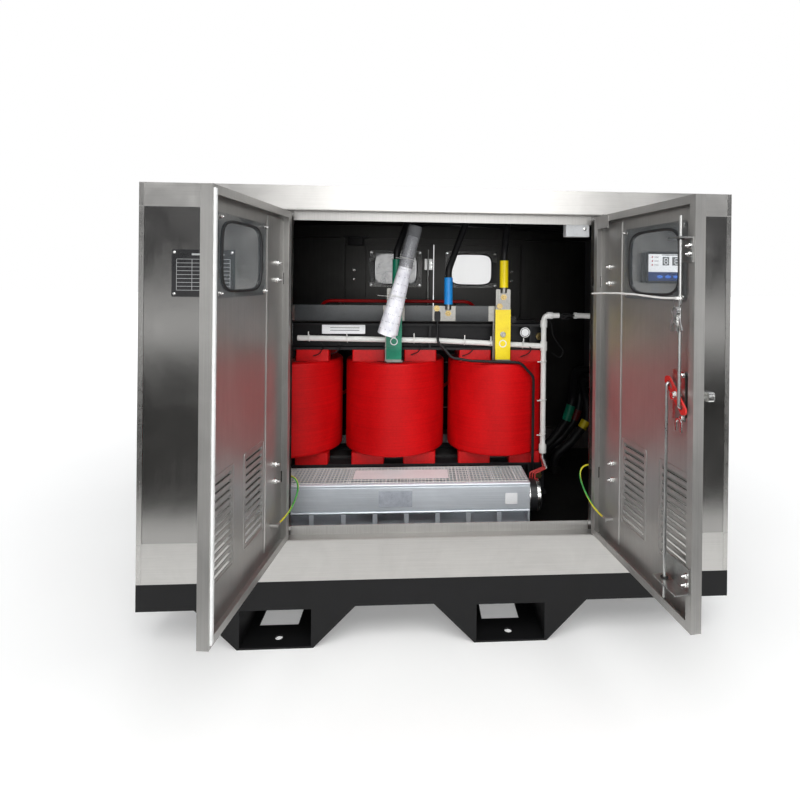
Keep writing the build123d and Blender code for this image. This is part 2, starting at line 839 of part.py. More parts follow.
def lock_rod(upper):
    """A straight round rod whose end is bent towards the leaf, as a hook in the cam."""
    rod_s = upper_rod_s if upper else lower_rod_s
    hook_z = cam_height - pin_rise if upper else cam_height + pin_rise
    far_z = upper_rod_top if upper else lower_rod_end
    with BuildPart() as rod:
        round_run(
            [(rod_s, cam_front - 2, hook_z), (rod_s, rod_y, hook_z), (rod_s, rod_y, far_z)],
            rod_diameter * 0.8,
            rod_diameter / 2,
        )
    return rod.part


def key_bunch():
    """Three flat keys on a ring, and the tie that holds the ring to the upper rod."""
    ring_y = rod_y + rod_diameter / 2 + 1
    ring_z = key_ring_height - key_ring_radius
    with BuildPart() as keys:
        with BuildSketch(Plane.XY.offset(key_ring_height - 3)):
            with Locations((upper_rod_s, rod_y)):
                Circle(rod_diameter / 2 + 2.2)
                Circle(rod_diameter / 2, mode=Mode.SUBTRACT)
        extrude(amount=5)
        ring_plane = Plane(origin=(upper_rod_s, ring_y, ring_z), x_dir=(1, 0, 0), z_dir=(0, 1, 0))
        with BuildSketch(ring_plane):
            Circle(key_ring_radius)
            Circle(key_ring_radius - 2, mode=Mode.SUBTRACT)
        extrude(amount=2)
        for step, lean in enumerate((-24, -4, 18)):
            key_plane = Plane(
                origin=(upper_rod_s, ring_y + 1.8 + 2.0 * step, ring_z - key_ring_radius - 5),
                x_dir=(1, 0, 0),
                z_dir=(0, 1, 0),
            ).rotated((0, lean, 0))
            with BuildSketch(key_plane):
                Circle(key_head_radius)
                with Locations((0, key_head_radius + key_blade_length / 2 - 3)):
                    Rectangle(8, key_blade_length)
                with Locations((0, -6)):
                    Circle(3, mode=Mode.SUBTRACT)
            extrude(amount=2.2)
    return keys.part


def place_on_hinge(piece, hinge_x, face_y, mirrored, turn):
    """Moves a leaf's piece from its own frame to its hinge, mirrored for a right hand leaf."""
    handed = mirror(piece, about=Plane.YZ) if mirrored else piece
    return Pos(hinge_x, face_y, 0) * Rot(0, 0, turn) * handed


def hand_over_part(piece, label):
    """Names a placed piece and writes it to its own STEP file."""
    piece.label = label
    export_step(piece, f"parts/{label}.step")


plain_leaf = door_leaf()
lock_leaf = drilled_leaf(False)
striker_leaf = drilled_leaf(True)
pane = window_pane()
case = lock_case()
cam = lock_cam()
handle = door_handle()
upper_rod = lock_rod(True)
lower_rod = lock_rod(False)

left_front = (left_hinge_x, front, False, -left_open_angle)
right_front = (right_hinge_x, front, True, right_open_angle)
left_rear = (right_hinge_x, rear, False, 180.0)
right_rear = (left_hinge_x, rear, True, 180.0)

hand_over_part(place_on_hinge(front_leaf(), *left_front), "front_door_left")
hand_over_part(place_on_hinge(pane, *left_front), "front_pane_left")
hand_over_part(place_on_hinge(striker_leaf, *right_front), "front_door_right")
hand_over_part(place_on_hinge(pane, *right_front), "front_pane_right")
hand_over_part(place_on_hinge(case, *right_front), "front_lock_case")
hand_over_part(place_on_hinge(cam, *right_front), "front_lock_cam")
hand_over_part(place_on_hinge(handle, *right_front), "front_handle")
hand_over_part(place_on_hinge(upper_rod, *right_front), "front_upper_rod")
hand_over_part(place_on_hinge(lower_rod, *right_front), "front_lower_rod")
hand_over_part(place_on_hinge(key_bunch(), *right_front), "keys")

hand_over_part(place_on_hinge(plain_leaf, *left_rear), "rear_door_left")
hand_over_part(place_on_hinge(pane, *left_rear), "rear_pane_left")
hand_over_part(place_on_hinge(lock_leaf, *right_rear), "rear_door_right")
hand_over_part(place_on_hinge(pane, *right_rear), "rear_pane_right")
hand_over_part(place_on_hinge(case, *right_rear), "rear_lock_case")
hand_over_part(place_on_hinge(cam, *right_rear), "rear_lock_cam")
hand_over_part(place_on_hinge(handle, *right_rear), "rear_handle")
hand_over_part(place_on_hinge(upper_rod, *right_rear), "rear_upper_rod")
hand_over_part(place_on_hinge(lower_rod, *right_rear), "rear_lower_rod")


# Core: three limbs and two yokes, stacked in three steps
with BuildPart() as core:
    for width, depth in zip(core_step_widths, core_step_depths):
        trim = (core_step_widths[0] - width) / 2
        with BuildSketch(Plane.XZ.offset(-transformer_y)):
            with Locations((transformer_x, (core_bottom + core_top) / 2)):
                Rectangle(2 * coil_pitch + width, core_top - core_bottom - 2 * trim)
            for side in (-1, 1):
                window_x = transformer_x + side * coil_pitch / 2
                with Locations((window_x, (lower_yoke_top + upper_yoke_bottom) / 2)):
                    Rectangle(
                        coil_pitch - width,
                        upper_yoke_bottom - lower_yoke_top + 2 * trim,
                        mode=Mode.SUBTRACT,
                    )
        extrude(amount=depth / 2, both=True)
hand_over(core, "core")


def clamp_pair(bottom, height):
    """Channels along both faces of a yoke, with their flanges pointing outwards."""
    with BuildPart() as clamps:
        with BuildSketch(Plane.YZ.offset(transformer_x - clamp_length / 2)) as profile:
            for side in (-1, 1):
                face = transformer_y + side * clamp_face
                back = face + side * clamp_web
                tip = transformer_y + side * clamp_tip
                with BuildLine():
                    Polyline(
                        (face, bottom),
                        (tip, bottom),
                        (tip, bottom + clamp_web),
                        (back, bottom + clamp_web),
                        (back, bottom + height - clamp_web),
                        (tip, bottom + height - clamp_web),
                        (tip, bottom + height),
                        (face, bottom + height),
                        close=True,
                    )
                make_face()
        extrude(profile.sketch, amount=clamp_length)
        for side in (-1, 1):
            for centre in (
                transformer_x - clamp_length / 2 + clamp_rib_inset,
                transformer_x + clamp_rib_shift,
                transformer_x + clamp_length / 2 - clamp_rib_inset,
            ):
                middle = transformer_y + side * (clamp_face + clamp_web + clamp_flange / 2)
                with BuildSketch(Plane.XY.offset(bottom)) as rib:
                    with Locations((centre, middle)):
                        Rectangle(clamp_web, clamp_flange)
                extrude(rib.sketch, amount=height)
    return clamps


upper_clamps = clamp_pair(upper_clamp_bottom, clamp_height)
hand_over(upper_clamps, "upper_clamps")
lower_clamps = clamp_pair(core_bottom, lower_clamp_top - core_bottom)
hand_over(lower_clamps, "lower_clamps")

# Feet: low channels across under both ends of the core, with risers to the clamps
foot_bottom = floor_top + pad_height
with BuildPart() as foot_channels:
    with BuildSketch(Plane.XZ.offset(-transformer_y)):
        for centre in (coil_centres[0], coil_centres[-1]):
            with Locations((centre, foot_bottom + foot_channel_height / 2)):
                Rectangle(foot_channel_width, foot_channel_height)
            with Locations((centre, foot_bottom + foot_channel_height / 2 - foot_channel_wall)):
                Rectangle(foot_channel_width - 2 * foot_channel_wall, foot_channel_height, mode=Mode.SUBTRACT)
    extrude(amount=foot_channel_length / 2, both=True)
    with BuildSketch(Plane.XY.offset(foot_bottom + foot_channel_height)):
        for centre in (coil_centres[0], coil_centres[-1]):
            riser_reach = clamp_tip - foot_riser_depth / 2
            with Locations((centre, transformer_y - riser_reach), (centre, transformer_y + riser_reach)):
                Rectangle(foot_channel_width, foot_riser_depth)
    extrude(amount=core_bottom - foot_bottom - foot_channel_height)
hand_over(foot_channels, "foot_channels")

# Rubber pads between the feet and the floor plate
with BuildPart() as vibration_pads:
    with BuildSketch(Plane.XY.offset(floor_top)):
        reach = foot_channel_length / 2 - pad_side / 2 - 6
        for centre in (coil_centres[0], coil_centres[-1]):
            with Locations((centre, transformer_y - reach), (centre, transformer_y + reach)):
                RectangleRounded(foot_channel_width + 8, pad_side, 8)
    extrude(amount=pad_height)
hand_over(vibration_pads, "vibration_pads")

# Low voltage coils: foil cylinders round the limbs
with BuildPart() as lv_coils:
    with BuildSketch(Plane.XY.offset(coil_bottom)):
        with Locations(*[(x, transformer_y) for x in coil_centres]):
            Circle(lv_coil_outer / 2)
            Circle(lv_coil_outer / 2 - lv_coil_wall, mode=Mode.SUBTRACT)
    extrude(amount=coil_height)
hand_over(lv_coils, "lv_coils")

# High voltage coils: resin cast cylinders with a tap board on the rear face
tap_width = 96.0
tap_height = 190.0
tap_depth = 16.0
tap_columns = 24.0
tap_rows = 40.0
coil_rear = transformer_y + coil_diameter / 2
tap_face = coil_rear + tap_depth
coil_middle = coil_bottom + coil_height / 2
for letter, centre in zip("abc", coil_centres):
    with BuildPart() as hv_coil:
        with BuildSketch(Plane.XY.offset(coil_bottom)):
            with Locations((centre, transformer_y)):
                Circle(coil_diameter / 2)
                Circle(coil_diameter / 2 - coil_wall, mode=Mode.SUBTRACT)
        extrude(amount=coil_height)
        rims = hv_coil.edges().filter_by(GeomType.CIRCLE)
        fillet(rims.filter_by(lambda e: e.radius > coil_diameter / 2 - 1), coil_round)
        with BuildSketch(Plane.XZ.offset(-tap_face)):
            with Locations((centre, coil_middle)):
                RectangleRounded(tap_width, tap_height, 10)
        extrude(amount=tap_depth + 12)
    hand_over(hv_coil, f"hv_coil_{letter}")

# Resin blocks that hold the coils between the yoke clamps, above and below
with BuildPart() as coil_blocks:
    for level in (lower_clamp_top, coil_top):
        with BuildSketch(Plane.XY.offset(level)):
            for centre in coil_centres:
                for side in (-1, 1):
                    block_y = transformer_y + side * (clamp_tip - block_length / 2 + 2)
                    with Locations((centre - block_offset, block_y), (centre + block_offset, block_y)):
                        RectangleRounded(block_width, block_length, 5)
        extrude(amount=block_height + clamp_step)
hand_over(coil_blocks, "coil_blocks")

# Low voltage bars: foot on the coil, riser and two holes at the top
bar_front = bar_y - bar_thickness / 2
bar_back = bar_y + bar_thickness / 2
foot_z = coil_top + bar_foot_lift
lv_mid_radius = lv_coil_outer / 2 - lv_coil_wall / 2


def bar_foot(centre_x, width, start_y):
    """Adds a flat foot from a bar back over the outer coil, with a tab down to the inner coil."""
    foot_back = transformer_y - lv_mid_radius + foot_tab / 2
    with BuildSketch(Plane.XY.offset(foot_z)) as foot:
        with Locations((centre_x, (start_y + foot_back) / 2)):
            Rectangle(width, foot_back - start_y)
    extrude(foot.sketch, amount=bar_thickness)
    with BuildSketch(Plane.XY.offset(coil_top)) as tab:
        with Locations((centre_x, foot_back - foot_tab / 2)):
            Rectangle(width, foot_tab)
    extrude(tab.sketch, amount=bar_foot_lift)


with BuildPart() as lv_bars:
    for centre in coil_centres:
        with BuildSketch(Plane.XZ.offset(-bar_front)):
            with Locations((centre, (foot_z + bar_top) / 2)):
                RectangleRounded(bar_width, bar_top - foot_z, 4)
        extrude(amount=-bar_thickness)
        bar_foot(centre + bar_foot_offset, bar_foot_width, bar_front)
hand_over(lv_bars, "lv_bars")

# Neutral bar behind the phase bars, with a riser from each coil and a terminal plate
neutral_front = bar_back + neutral_gap
with BuildPart() as neutral_bar:
    with BuildSketch(Plane.XZ.offset(-neutral_front)):
        with Locations(((neutral_left + neutral_right) / 2, neutral_bottom + neutral_height / 2)):
            Rectangle(neutral_right - neutral_left, neutral_height)
    extrude(amount=-bar_thickness)
    riser_front = neutral_front + bar_thickness
    for centre in coil_centres:
        with BuildSketch(Plane.XZ.offset(-riser_front)):
            with Locations((centre + riser_offset, (foot_z + neutral_bottom + neutral_height) / 2)):
                Rectangle(riser_width, neutral_bottom + neutral_height - foot_z)
        extrude(amount=-bar_thickness)
        bar_foot(centre + riser_offset, riser_width, riser_front)
    with BuildSketch(Plane.XZ.offset(-neutral_front)):
        with Locations((neutral_terminal_x, neutral_bottom + neutral_height / 2)):
            Rectangle(neutral_terminal_width, neutral_height)
    extrude(amount=3)
hand_over(neutral_bar, "neutral_bar")

# Cables: where each one starts at its lug, and how far it leans to the right as it rises
cable_front = bar_front - lug_thickness - 6
neutral_face = neutral_front - 3
neutral_cable_y = neutral_face - lug_thickness - 6
phase_starts = [(coil_centres[0], 26.0), (coil_centres[1] + 7, 44.0), (coil_centres[2], 20.0)]
neutral_start = (neutral_terminal_x + 13, 70.0)
lug_top = bar_top + 24
neutral_lug_top = neutral_bottom + neutral_height + 24
sleeve_length = 88.0


def cable_route(start, lean, end):
    """Up from the lug, over under the roof to the right, and down into the duct on the wall."""
    x, y, z = start
    return [
        (x, y, z),
        (x, y, z + 96),
        (x + lean, y + 46, ceiling_run_z),
        (end[0], end[1], ceiling_run_z),
        (end[0], end[1], duct_top),
    ]


cable_starts = [(x, cable_front, lug_top) for x, lean in phase_starts]
cable_starts.append((neutral_start[0], neutral_cable_y, neutral_lug_top))
cable_leans = [lean for x, lean in phase_starts] + [neutral_start[1]]
with BuildPart() as phase_cables:
    for cable_start, lean, end in zip(cable_starts, cable_leans, duct_ends):
        round_run(cable_route(cable_start, lean, end), (60.0, 60.0, 30.0), cable_radius)
    for route, bends in zip(supply_routes, supply_bends):
        round_run(route, bends, supply_radius)
hand_over(phase_cables, "phase_cables")


def flat_lug(centre_x, face_y, palm_low, palm_high, barrel_z, barrel_top):
    """Adds a cable lug: flat palm against a bar and a round barrel for the cable."""
    with BuildSketch(Plane.XZ.offset(-face_y)) as palm:
        with Locations((centre_x, (palm_low + palm_high) / 2)):
            RectangleRounded(lug_width, palm_high - palm_low, 8)
    extrude(palm.sketch, amount=lug_thickness)
    with BuildSketch(Plane.XY.offset(min(barrel_z, barrel_top))) as barrel:
        with Locations((centre_x, face_y - lug_thickness - 6)):
            Circle(cable_radius - 1)
    extrude(barrel.sketch, amount=abs(barrel_top - barrel_z))


# Lugs of the cables, and the tap links and studs on the rear of the coils
delta_y = tap_face + 20
top_terminal = coil_top - 30
bottom_terminal = coil_bottom + 30
link_radius = 6.0
with BuildPart() as copper_links:
    for start in phase_starts:
        flat_lug(start[0], bar_front, bar_top - 44, bar_top, bar_top - 12, lug_top)
    flat_lug(
        neutral_start[0],
        neutral_face,
        neutral_bottom + 6,
        neutral_bottom + neutral_height,
        neutral_bottom + neutral_height - 12,
        neutral_lug_top,
    )
    with BuildSketch(Plane.XZ.offset(-tap_face)):
        for centre in coil_centres:
            with Locations((centre, coil_middle)):
                with GridLocations(tap_columns * 2, tap_rows, 2, 4):
                    RegularPolygon(7, 6, major_radius=False)
    extrude(amount=-12)
    with BuildSketch(Plane.XZ.offset(-tap_face)):
        for centre in coil_centres:
            with Locations((centre, coil_middle + tap_rows / 2)):
                Rectangle(tap_columns * 2 + 18, 12)
    extrude(amount=-4)
    with BuildSketch(Plane.XZ.offset(-coil_rear)):
        for centre in coil_centres:
            with Locations((centre, top_terminal), (centre, bottom_terminal)):
                Circle(5)
    extrude(amount=-(delta_y - link_radius - coil_rear))
hand_over(copper_links, "copper_links")

# High voltage links: insulated rods that join the coils in delta
insulator_y = transformer_y + clamp_face + clamp_web + clamp_flange / 2
insulator_height = 60.0
insulator_top = upper_clamp_bottom + clamp_height + insulator_height
link_z = insulator_top + link_radius
with BuildPart() as hv_links:
    round_run(
        [
            (coil_centres[0], delta_y, top_terminal),
            (coil_centres[0], delta_y, coil_top + 60),
            (coil_centres[0] + 90, insulator_y, link_z),
            (coil_centres[2] - 90, insulator_y, link_z),
            (coil_centres[2] + 60, delta_y + 20, coil_top + 60),
            (coil_centres[2], delta_y + 2 * link_radius, bottom_terminal),
        ],
        (40.0, 40.0, 40.0, 40.0),
        link_radius,
    )
    for step in (0, 1):
        round_run(
            [
                (coil_centres[step] + 0.0, delta_y, bottom_terminal),
                (coil_centres[step] + 90, delta_y + 14, bottom_terminal + 60),
                (coil_centres[step + 1] - 90, delta_y + 14, top_terminal - 60),
                (coil_centres[step + 1], delta_y, top_terminal),
            ],
            (40.0, 40.0),
            link_radius,
        )
hand_over(hv_links, "hv_links")

# Post insulators with ribs, on the rear upper clamp
with BuildPart() as hv_insulators:
    for centre in (coil_centres[0] + 150, coil_centres[1], coil_centres[2] - 150):
        insulator_base = (centre, insulator_y, upper_clamp_bottom + clamp_height)
        with BuildSketch(Plane(origin=insulator_base, x_dir=(1, 0, 0), z_dir=(0, -1, 0))) as rib_profile:
            with BuildLine():
                Polyline(
                    (0, 0),
                    (18, 0),
                    (18, 10),
                    (13, 14),
                    (13, 20),
                    (19, 26),
                    (13, 31),
                    (13, 37),
                    (19, 43),
                    (13, 48),
                    (13, insulator_height),
                    (0, insulator_height),
                    close=True,
                )
            make_face()
        revolve(rib_profile.sketch, axis=Axis((centre, insulator_y, 0), (0, 0, 1)))
hand_over(hv_insulators, "hv_insulators")

# Coloured sleeves: heat shrink on the bars, and bands on the cables
with BuildPart() as phase_sleeves:
    for centre in coil_centres:
        with BuildSketch(Plane.XY.offset(bar_sleeve_bottom)):
            with Locations((centre, bar_y)):
                Rectangle(bar_width + 2 * bar_sleeve_wall, bar_thickness + 2 * bar_sleeve_wall)
                Rectangle(bar_width, bar_thickness, mode=Mode.SUBTRACT)
        extrude(amount=bar_sleeve_top - bar_sleeve_bottom)
    for x, y, z in cable_starts:
        with BuildSketch(Plane.XY.offset(z - 18)):
            with Locations((x, y)):
                Circle(sleeve_radius)
                Circle(cable_radius + 0.1, mode=Mode.SUBTRACT)
        extrude(amount=sleeve_length)
    for route, low, high in zip(supply_routes, supply_sleeve_starts, supply_sleeve_ends):
        foot = Vector(*route[3])
        heading = (Vector(*route[4]) - foot).normalized()
        with BuildSketch(Plane(origin=foot + heading * low, z_dir=heading)):
            Circle(supply_radius + supply_sleeve_wall)
            Circle(supply_radius + 0.1, mode=Mode.SUBTRACT)
        extrude(amount=high - low)
hand_over(phase_sleeves, "phase_sleeves")

# Earth cable: from the neutral terminal, over the last coil and down to the floor
earth_x = coil_centres[2] + 104
earth_y = transformer_y - clamp_tip - running_gap - earth_cable_radius - 4
coil_lay_z = coil_top + earth_cable_radius + running_gap
with BuildPart() as earth_cable:
    round_run(
        [
            (neutral_terminal_x - 22, neutral_face - lug_thickness / 2, neutral_bottom),
            (neutral_terminal_x - 20, neutral_face - 6, 810),
            (neutral_terminal_x + 26, bar_front - 8, coil_top + 20),
            (neutral_terminal_x + 90, bar_front - earth_cable_radius - 4, coil_top + 10),
            (coil_centres[2] + 58, bar_front - earth_cable_radius - 4, coil_top + 5),
            (earth_x, bar_front, coil_top - 44),
            (earth_x, bar_front + 2, coil_bottom - 10),
            (earth_x + 8, earth_y, coil_bottom - 86),
            (earth_x + 8, earth_y, floor_top),
        ],
        (24.0, 30.0, 60.0, 40.0, 28.0, 50.0, 40.0),
        earth_cable_radius,
    )
    with BuildSketch(Plane.XZ.offset(-neutral_face)):
        with Locations((neutral_terminal_x - 22, neutral_bottom + 16)):
            RectangleRounded(20, 34, 6)
    extrude(amount=lug_thickness)
hand_over(earth_cable, "earth_cable")

# Bolts: tie bolts of the clamps, and the bolts of the bars and lugs
with BuildPart() as bolts:
    bolt_places = [
        (transformer_x + side * (clamp_length / 2 - 22), level)
        for side in (-1, 1)
        for level in (upper_clamp_bottom + clamp_height / 2, (core_bottom + lower_clamp_top) / 2)
    ]
    outer = clamp_face + clamp_web
    with BuildSketch(Plane.XZ.offset(-transformer_y)):
        with Locations(*bolt_places):
            Circle(tie_bolt_radius)
    extrude(amount=clamp_face, both=True)
    for side in (-1, 1):
        with BuildSketch(Plane.XZ.offset(-transformer_y - side * outer)):
            with Locations(*bolt_places):
                RegularPolygon(12, 6, major_radius=False)
        extrude(amount=-side * 10)
    hex_heads(bar_front - lug_thickness, [(x, bar_top - 26) for x, lean in phase_starts])
    hex_heads(bar_front, [(centre - 12, bar_top - 56) for centre in coil_centres])
    hex_heads(neutral_face - lug_thickness, [(neutral_start[0], neutral_bottom + 26)])
    hex_heads(neutral_face, [(neutral_terminal_x - 24, neutral_bottom + 42)])
hand_over(bolts, "bolts")

# Cooling fans: one sheet metal duct with its blower along each side of the coils
fan_middle_z = fan_top - fan_height / 2
fan_length = fan_right - fan_left


def fan_axis_y(side):
    """Depth of a fan's axis: -1 is the front fan and 1 the rear one."""
    return transformer_y + side * (clamp_tip + fan_depth / 2)


with BuildPart() as fan_housings:
    for side in (-1, 1):
        axis_y = fan_axis_y(side)
        with BuildSketch(Plane.YZ.offset(fan_left)) as duct:
            with Locations((axis_y, fan_middle_z)):
                Rectangle(fan_depth, fan_height)
        extrude(duct.sketch, amount=fan_length)
        with BuildSketch(Plane.YZ.offset(fan_left + fan_wall)) as inside:
            with Locations((axis_y, fan_middle_z)):
                Rectangle(fan_depth - 2 * fan_wall, fan_height - 2 * fan_wall)
        extrude(inside.sketch, amount=fan_length - 2 * fan_wall, mode=Mode.SUBTRACT)
        with BuildSketch(Plane.XY.offset(fan_top - fan_wall)) as outlet:
            with Locations(((fan_left + fan_right) / 2, axis_y)):
                with GridLocations(fan_length / fan_bar_count, 0, fan_bar_count, 1):
                    Rectangle(fan_length / fan_bar_count - 3, fan_depth - 2 * fan_rim)
        extrude(outlet.sketch, amount=fan_wall, mode=Mode.SUBTRACT)
        with BuildSketch(Plane.XZ.offset(-axis_y - side * (fan_depth / 2 - fan_wall))) as intake:
            with Locations(((fan_left + fan_right) / 2, fan_top - fan_height + intake_height / 2 + fan_rim)):
                with GridLocations(fan_length / 9, 0, 9, 1):
                    Rectangle(fan_length / 9 - 14, intake_height)
        extrude(intake.sketch, amount=-side * fan_wall, mode=Mode.SUBTRACT)
        with BuildSketch(Plane.YZ.offset(fan_left)) as bores:
            with Locations((axis_y, fan_middle_z)):
                Circle(shaft_radius + shaft_clearance)
        extrude(bores.sketch, amount=fan_length, mode=Mode.SUBTRACT)
hand_over(fan_housings, "fan_housings")

# Fan motors: round cans on the right hand ends
with BuildPart() as fan_motors:
    for side in (-1, 1):
        with BuildSketch(Plane.YZ.offset(fan_right)) as can:
            with Locations((fan_axis_y(side), fan_middle_z)):
                Circle(motor_radius)
        extrude(can.sketch, amount=motor_length)
        with BuildSketch(Plane.YZ.offset(fan_right)) as bore:
            with Locations((fan_axis_y(side), fan_middle_z)):
                Circle(shaft_radius + shaft_clearance)
        extrude(bore.sketch, amount=motor_length / 2, mode=Mode.SUBTRACT)
    rims = fan_motors.edges().filter_by(GeomType.CIRCLE).filter_by(lambda e: e.radius > motor_radius - 1)
    fillet(rims.filter_by(lambda e: e.center().X > fan_right + 1), 6)
hand_over(fan_motors, "fan_motors")


def fan_impeller(side):
    """Cross flow drum: thin blades between discs on one shaft."""
    axis_y = fan_axis_y(side)
    drum_start = fan_left + fan_wall + impeller_end_gap
    drum_length = fan_length - 2 * (fan_wall + impeller_end_gap)
    with BuildPart() as impeller:
        with BuildSketch(Plane.YZ.offset(drum_start)) as blades:
            with Locations((axis_y, fan_middle_z)):
                with PolarLocations(impeller_radius - blade_depth / 2, impeller_blades):
                    Rectangle(blade_depth, blade_thickness, rotation=blade_lean)
        extrude(blades.sketch, amount=drum_length)
        for step in range(4):
            place = drum_start + step * (drum_length - impeller_disc) / 3
            with BuildSketch(Plane.YZ.offset(place)) as disc:
                with Locations((axis_y, fan_middle_z)):
                    Circle(impeller_radius - 1)
            extrude(disc.sketch, amount=impeller_disc)
        with BuildSketch(Plane.YZ.offset(fan_left)) as shaft:
            with Locations((axis_y, fan_middle_z)):
                Circle(shaft_radius)
        extrude(shaft.sketch, amount=fan_length + motor_length / 2 - 2)
    return impeller.part


hand_over_part(fan_impeller(-1), "front_impeller")
hand_over_part(fan_impeller(1), "rear_impeller")

# Conduit: along the upper clamp, down the right side, and over to the controller
conduit_y = transformer_y - clamp_tip - running_gap - conduit_radius
controller_back = front + sheet + controller_depth
with BuildPart() as sensor_conduit:
    round_run(
        [
            (conduit_left, conduit_y, conduit_left_z),
            (conduit_middle_x, conduit_y, conduit_middle_z),
            (conduit_drop_x, conduit_y, conduit_right_z),
        ],
        (300.0,),
        conduit_radius,
    )
    round_run(
        [
            (conduit_drop_x, conduit_y, conduit_bottom),
            (conduit_drop_x, conduit_y, conduit_elbow_z),
            (conduit_drop_x + 52, conduit_y, conduit_elbow_z),
        ],
        (18.0,),
        conduit_radius,
    )
    round_run(
        [
            (conduit_drop_x + 104, conduit_y, conduit_elbow_z),
            (conduit_drop_x + 120, conduit_y, conduit_elbow_z),
            (controller_centre_x - 40, conduit_y - 30, conduit_elbow_z - 2),
            (controller_centre_x - 20, controller_back + 60, controller_centre_z - 10),
            (controller_centre_x - 20, controller_back, controller_centre_z - 10),
        ],
        (60.0, 60.0, 40.0),
        conduit_radius,
    )
hand_over(sensor_conduit, "sensor_conduit")

# Sensor and motor leads between the conduit's ends, and down to the fan's motor
with BuildPart() as sensor_leads:
    for step, sag in ((-1, 4.0), (0, 11.0), (1, -6.0)):
        lead_y = conduit_y + step * 5.0
        entry_x = fan_right + motor_length / 2 + step * 7.0
        round_run(
            [
                (conduit_drop_x + 52 + lead_gap, lead_y, conduit_elbow_z),
                (conduit_drop_x + 59, lead_y, conduit_elbow_z),
                (conduit_drop_x + 71, lead_y, conduit_elbow_z - sag),
                (conduit_drop_x + 85, lead_y, conduit_elbow_z - sag),
                (conduit_drop_x + 97, lead_y, conduit_elbow_z),
                (conduit_drop_x + 104 - lead_gap, lead_y, conduit_elbow_z),
            ],
            5.0,
            lead_radius,
        )
        lead_x = conduit_drop_x + step * 5.0
        turn_y = conduit_y - 54 - step * 5.0
        entry_y = fan_axis_y(-1) - step * 5.0
        round_run(
            [
                (lead_x, conduit_y, conduit_bottom - lead_gap),
                (lead_x, conduit_y, conduit_bottom - 18),
                (lead_x - 4, turn_y, fan_middle_z + motor_radius + 32),
                (entry_x, entry_y, fan_middle_z + motor_radius + 18),
                (entry_x, entry_y, fan_middle_z + motor_radius + lead_gap),
            ],
            (10.0, 10.0, 6.0),
            lead_radius,
        )
hand_over(sensor_leads, "sensor_leads")

# Temperature controller in the right front panel
with BuildPart() as controller:
    with BuildSketch(Plane.XZ.offset(-front)):
        with Locations((controller_centre_x, controller_centre_z)):
            RectangleRounded(controller_width, controller_height, 5)
    extrude(amount=controller_front)
    with BuildSketch(Plane.XZ.offset(-front)):
        with Locations((controller_centre_x, controller_centre_z)):
            Rectangle(controller_width - 10, controller_height - 10)
    extrude(amount=-(controller_depth + sheet))
hand_over(controller, "controller")

# Door switch under the doorway's top rest
with BuildPart() as door_switch:
    switch_y = front + panel_return + sheet
    switch_top = roof_bottom - doorway_lift - rest_lip
    with BuildSketch(Plane.XY.offset(switch_top - switch_height)):
        with Locations((switch_x, switch_y + 16)):
            RectangleRounded(switch_width, 32, 4)
    extrude(amount=switch_height + doorway_lift)
hand_over(door_switch, "door_switch")

# Cable duct on the right hand side wall
with BuildPart() as cable_duct:
    with BuildSketch(Plane.XY.offset(duct_bottom)):
        with Locations((duct_face + duct_width / 2, duct_y)):
            Rectangle(duct_width, duct_depth)
    extrude(amount=duct_top - duct_bottom)
hand_over(cable_duct, "cable_duct")

# Rolled documents in a clear tube, tied to the middle phase cable
with BuildPart() as document_roll:
    roll_y = cable_front - sleeve_radius - roll_radius + roll_nest
    low = Vector(roll_bottom[0], roll_y, roll_bottom[1])
    high = Vector(roll_top[0], roll_y, roll_top[1])
    with BuildSketch(Plane(origin=low, x_dir=(0, 1, 0), z_dir=high - low)):
        Circle(roll_radius)
        Circle(roll_radius - 9, mode=Mode.SUBTRACT)
    extrude(amount=(high - low).length)
hand_over(document_roll, "document_roll")


# Earth wires: loose loops from each front door to the post behind the panel beside it
lug_end = Vector(earth_stud_from_hinge - earth_lug_length, earth_lug_depth, 0)
lead_end = lug_end - Vector(earth_wire_lead, 0, 0)
left_lug, left_lead = (
    Vector(left_hinge_x, front, 0) + end.rotate(Axis.Z, -left_open_angle) for end in (lug_end, lead_end)
)
right_lug, right_lead = (
    Vector(right_hinge_x, front, 0) + Vector(-end.X, end.Y, 0).rotate(Axis.Z, right_open_angle)
    for end in (lug_end, lead_end)
)
left_wire = [
    (left_lug.X, left_lug.Y, earth_stud_height),
    (left_lead.X, left_lead.Y, earth_stud_height),
    (-291.0, -586.0, 380.0),
    (-284.0, -569.0, 387.0),
    (-279.0, -553.0, 398.0),
    (-275.0, -537.0, 411.0),
    (-273.0, -521.0, 427.0),
    (-278.0, -507.0, 441.0),
    (-290.0, -498.0, 451.0),
    (-306.0, -495.0, 455.0),
    (-324.0, -496.0, 453.0),
    (-339.0, -503.0, 450.0),
    (left_post[0], front + 32, left_post[1]),
    (left_post[0], front + sheet + earth_post_length, left_post[1]),
]
right_wire = [
    (right_lug.X, right_lug.Y, earth_stud_height),
    (right_lead.X, right_lead.Y, earth_stud_height),
    (554.0, -588.0, 382.0),
    (548.0, -573.0, 390.0),
    (542.0, -558.0, 402.0),
    (536.0, -543.0, 416.0),
    (531.0, -529.0, 433.0),
    (529.0, -516.0, 450.0),
    (534.0, -505.0, 465.0),
    (547.0, -498.0, 474.0),
    (563.0, -496.0, 477.0),
    (580.0, -497.0, 475.0),
    (594.0, -504.0, 471.0),
    (right_post[0], front + 32, right_post[1]),
    (right_post[0], front + sheet + earth_post_length, right_post[1]),
]
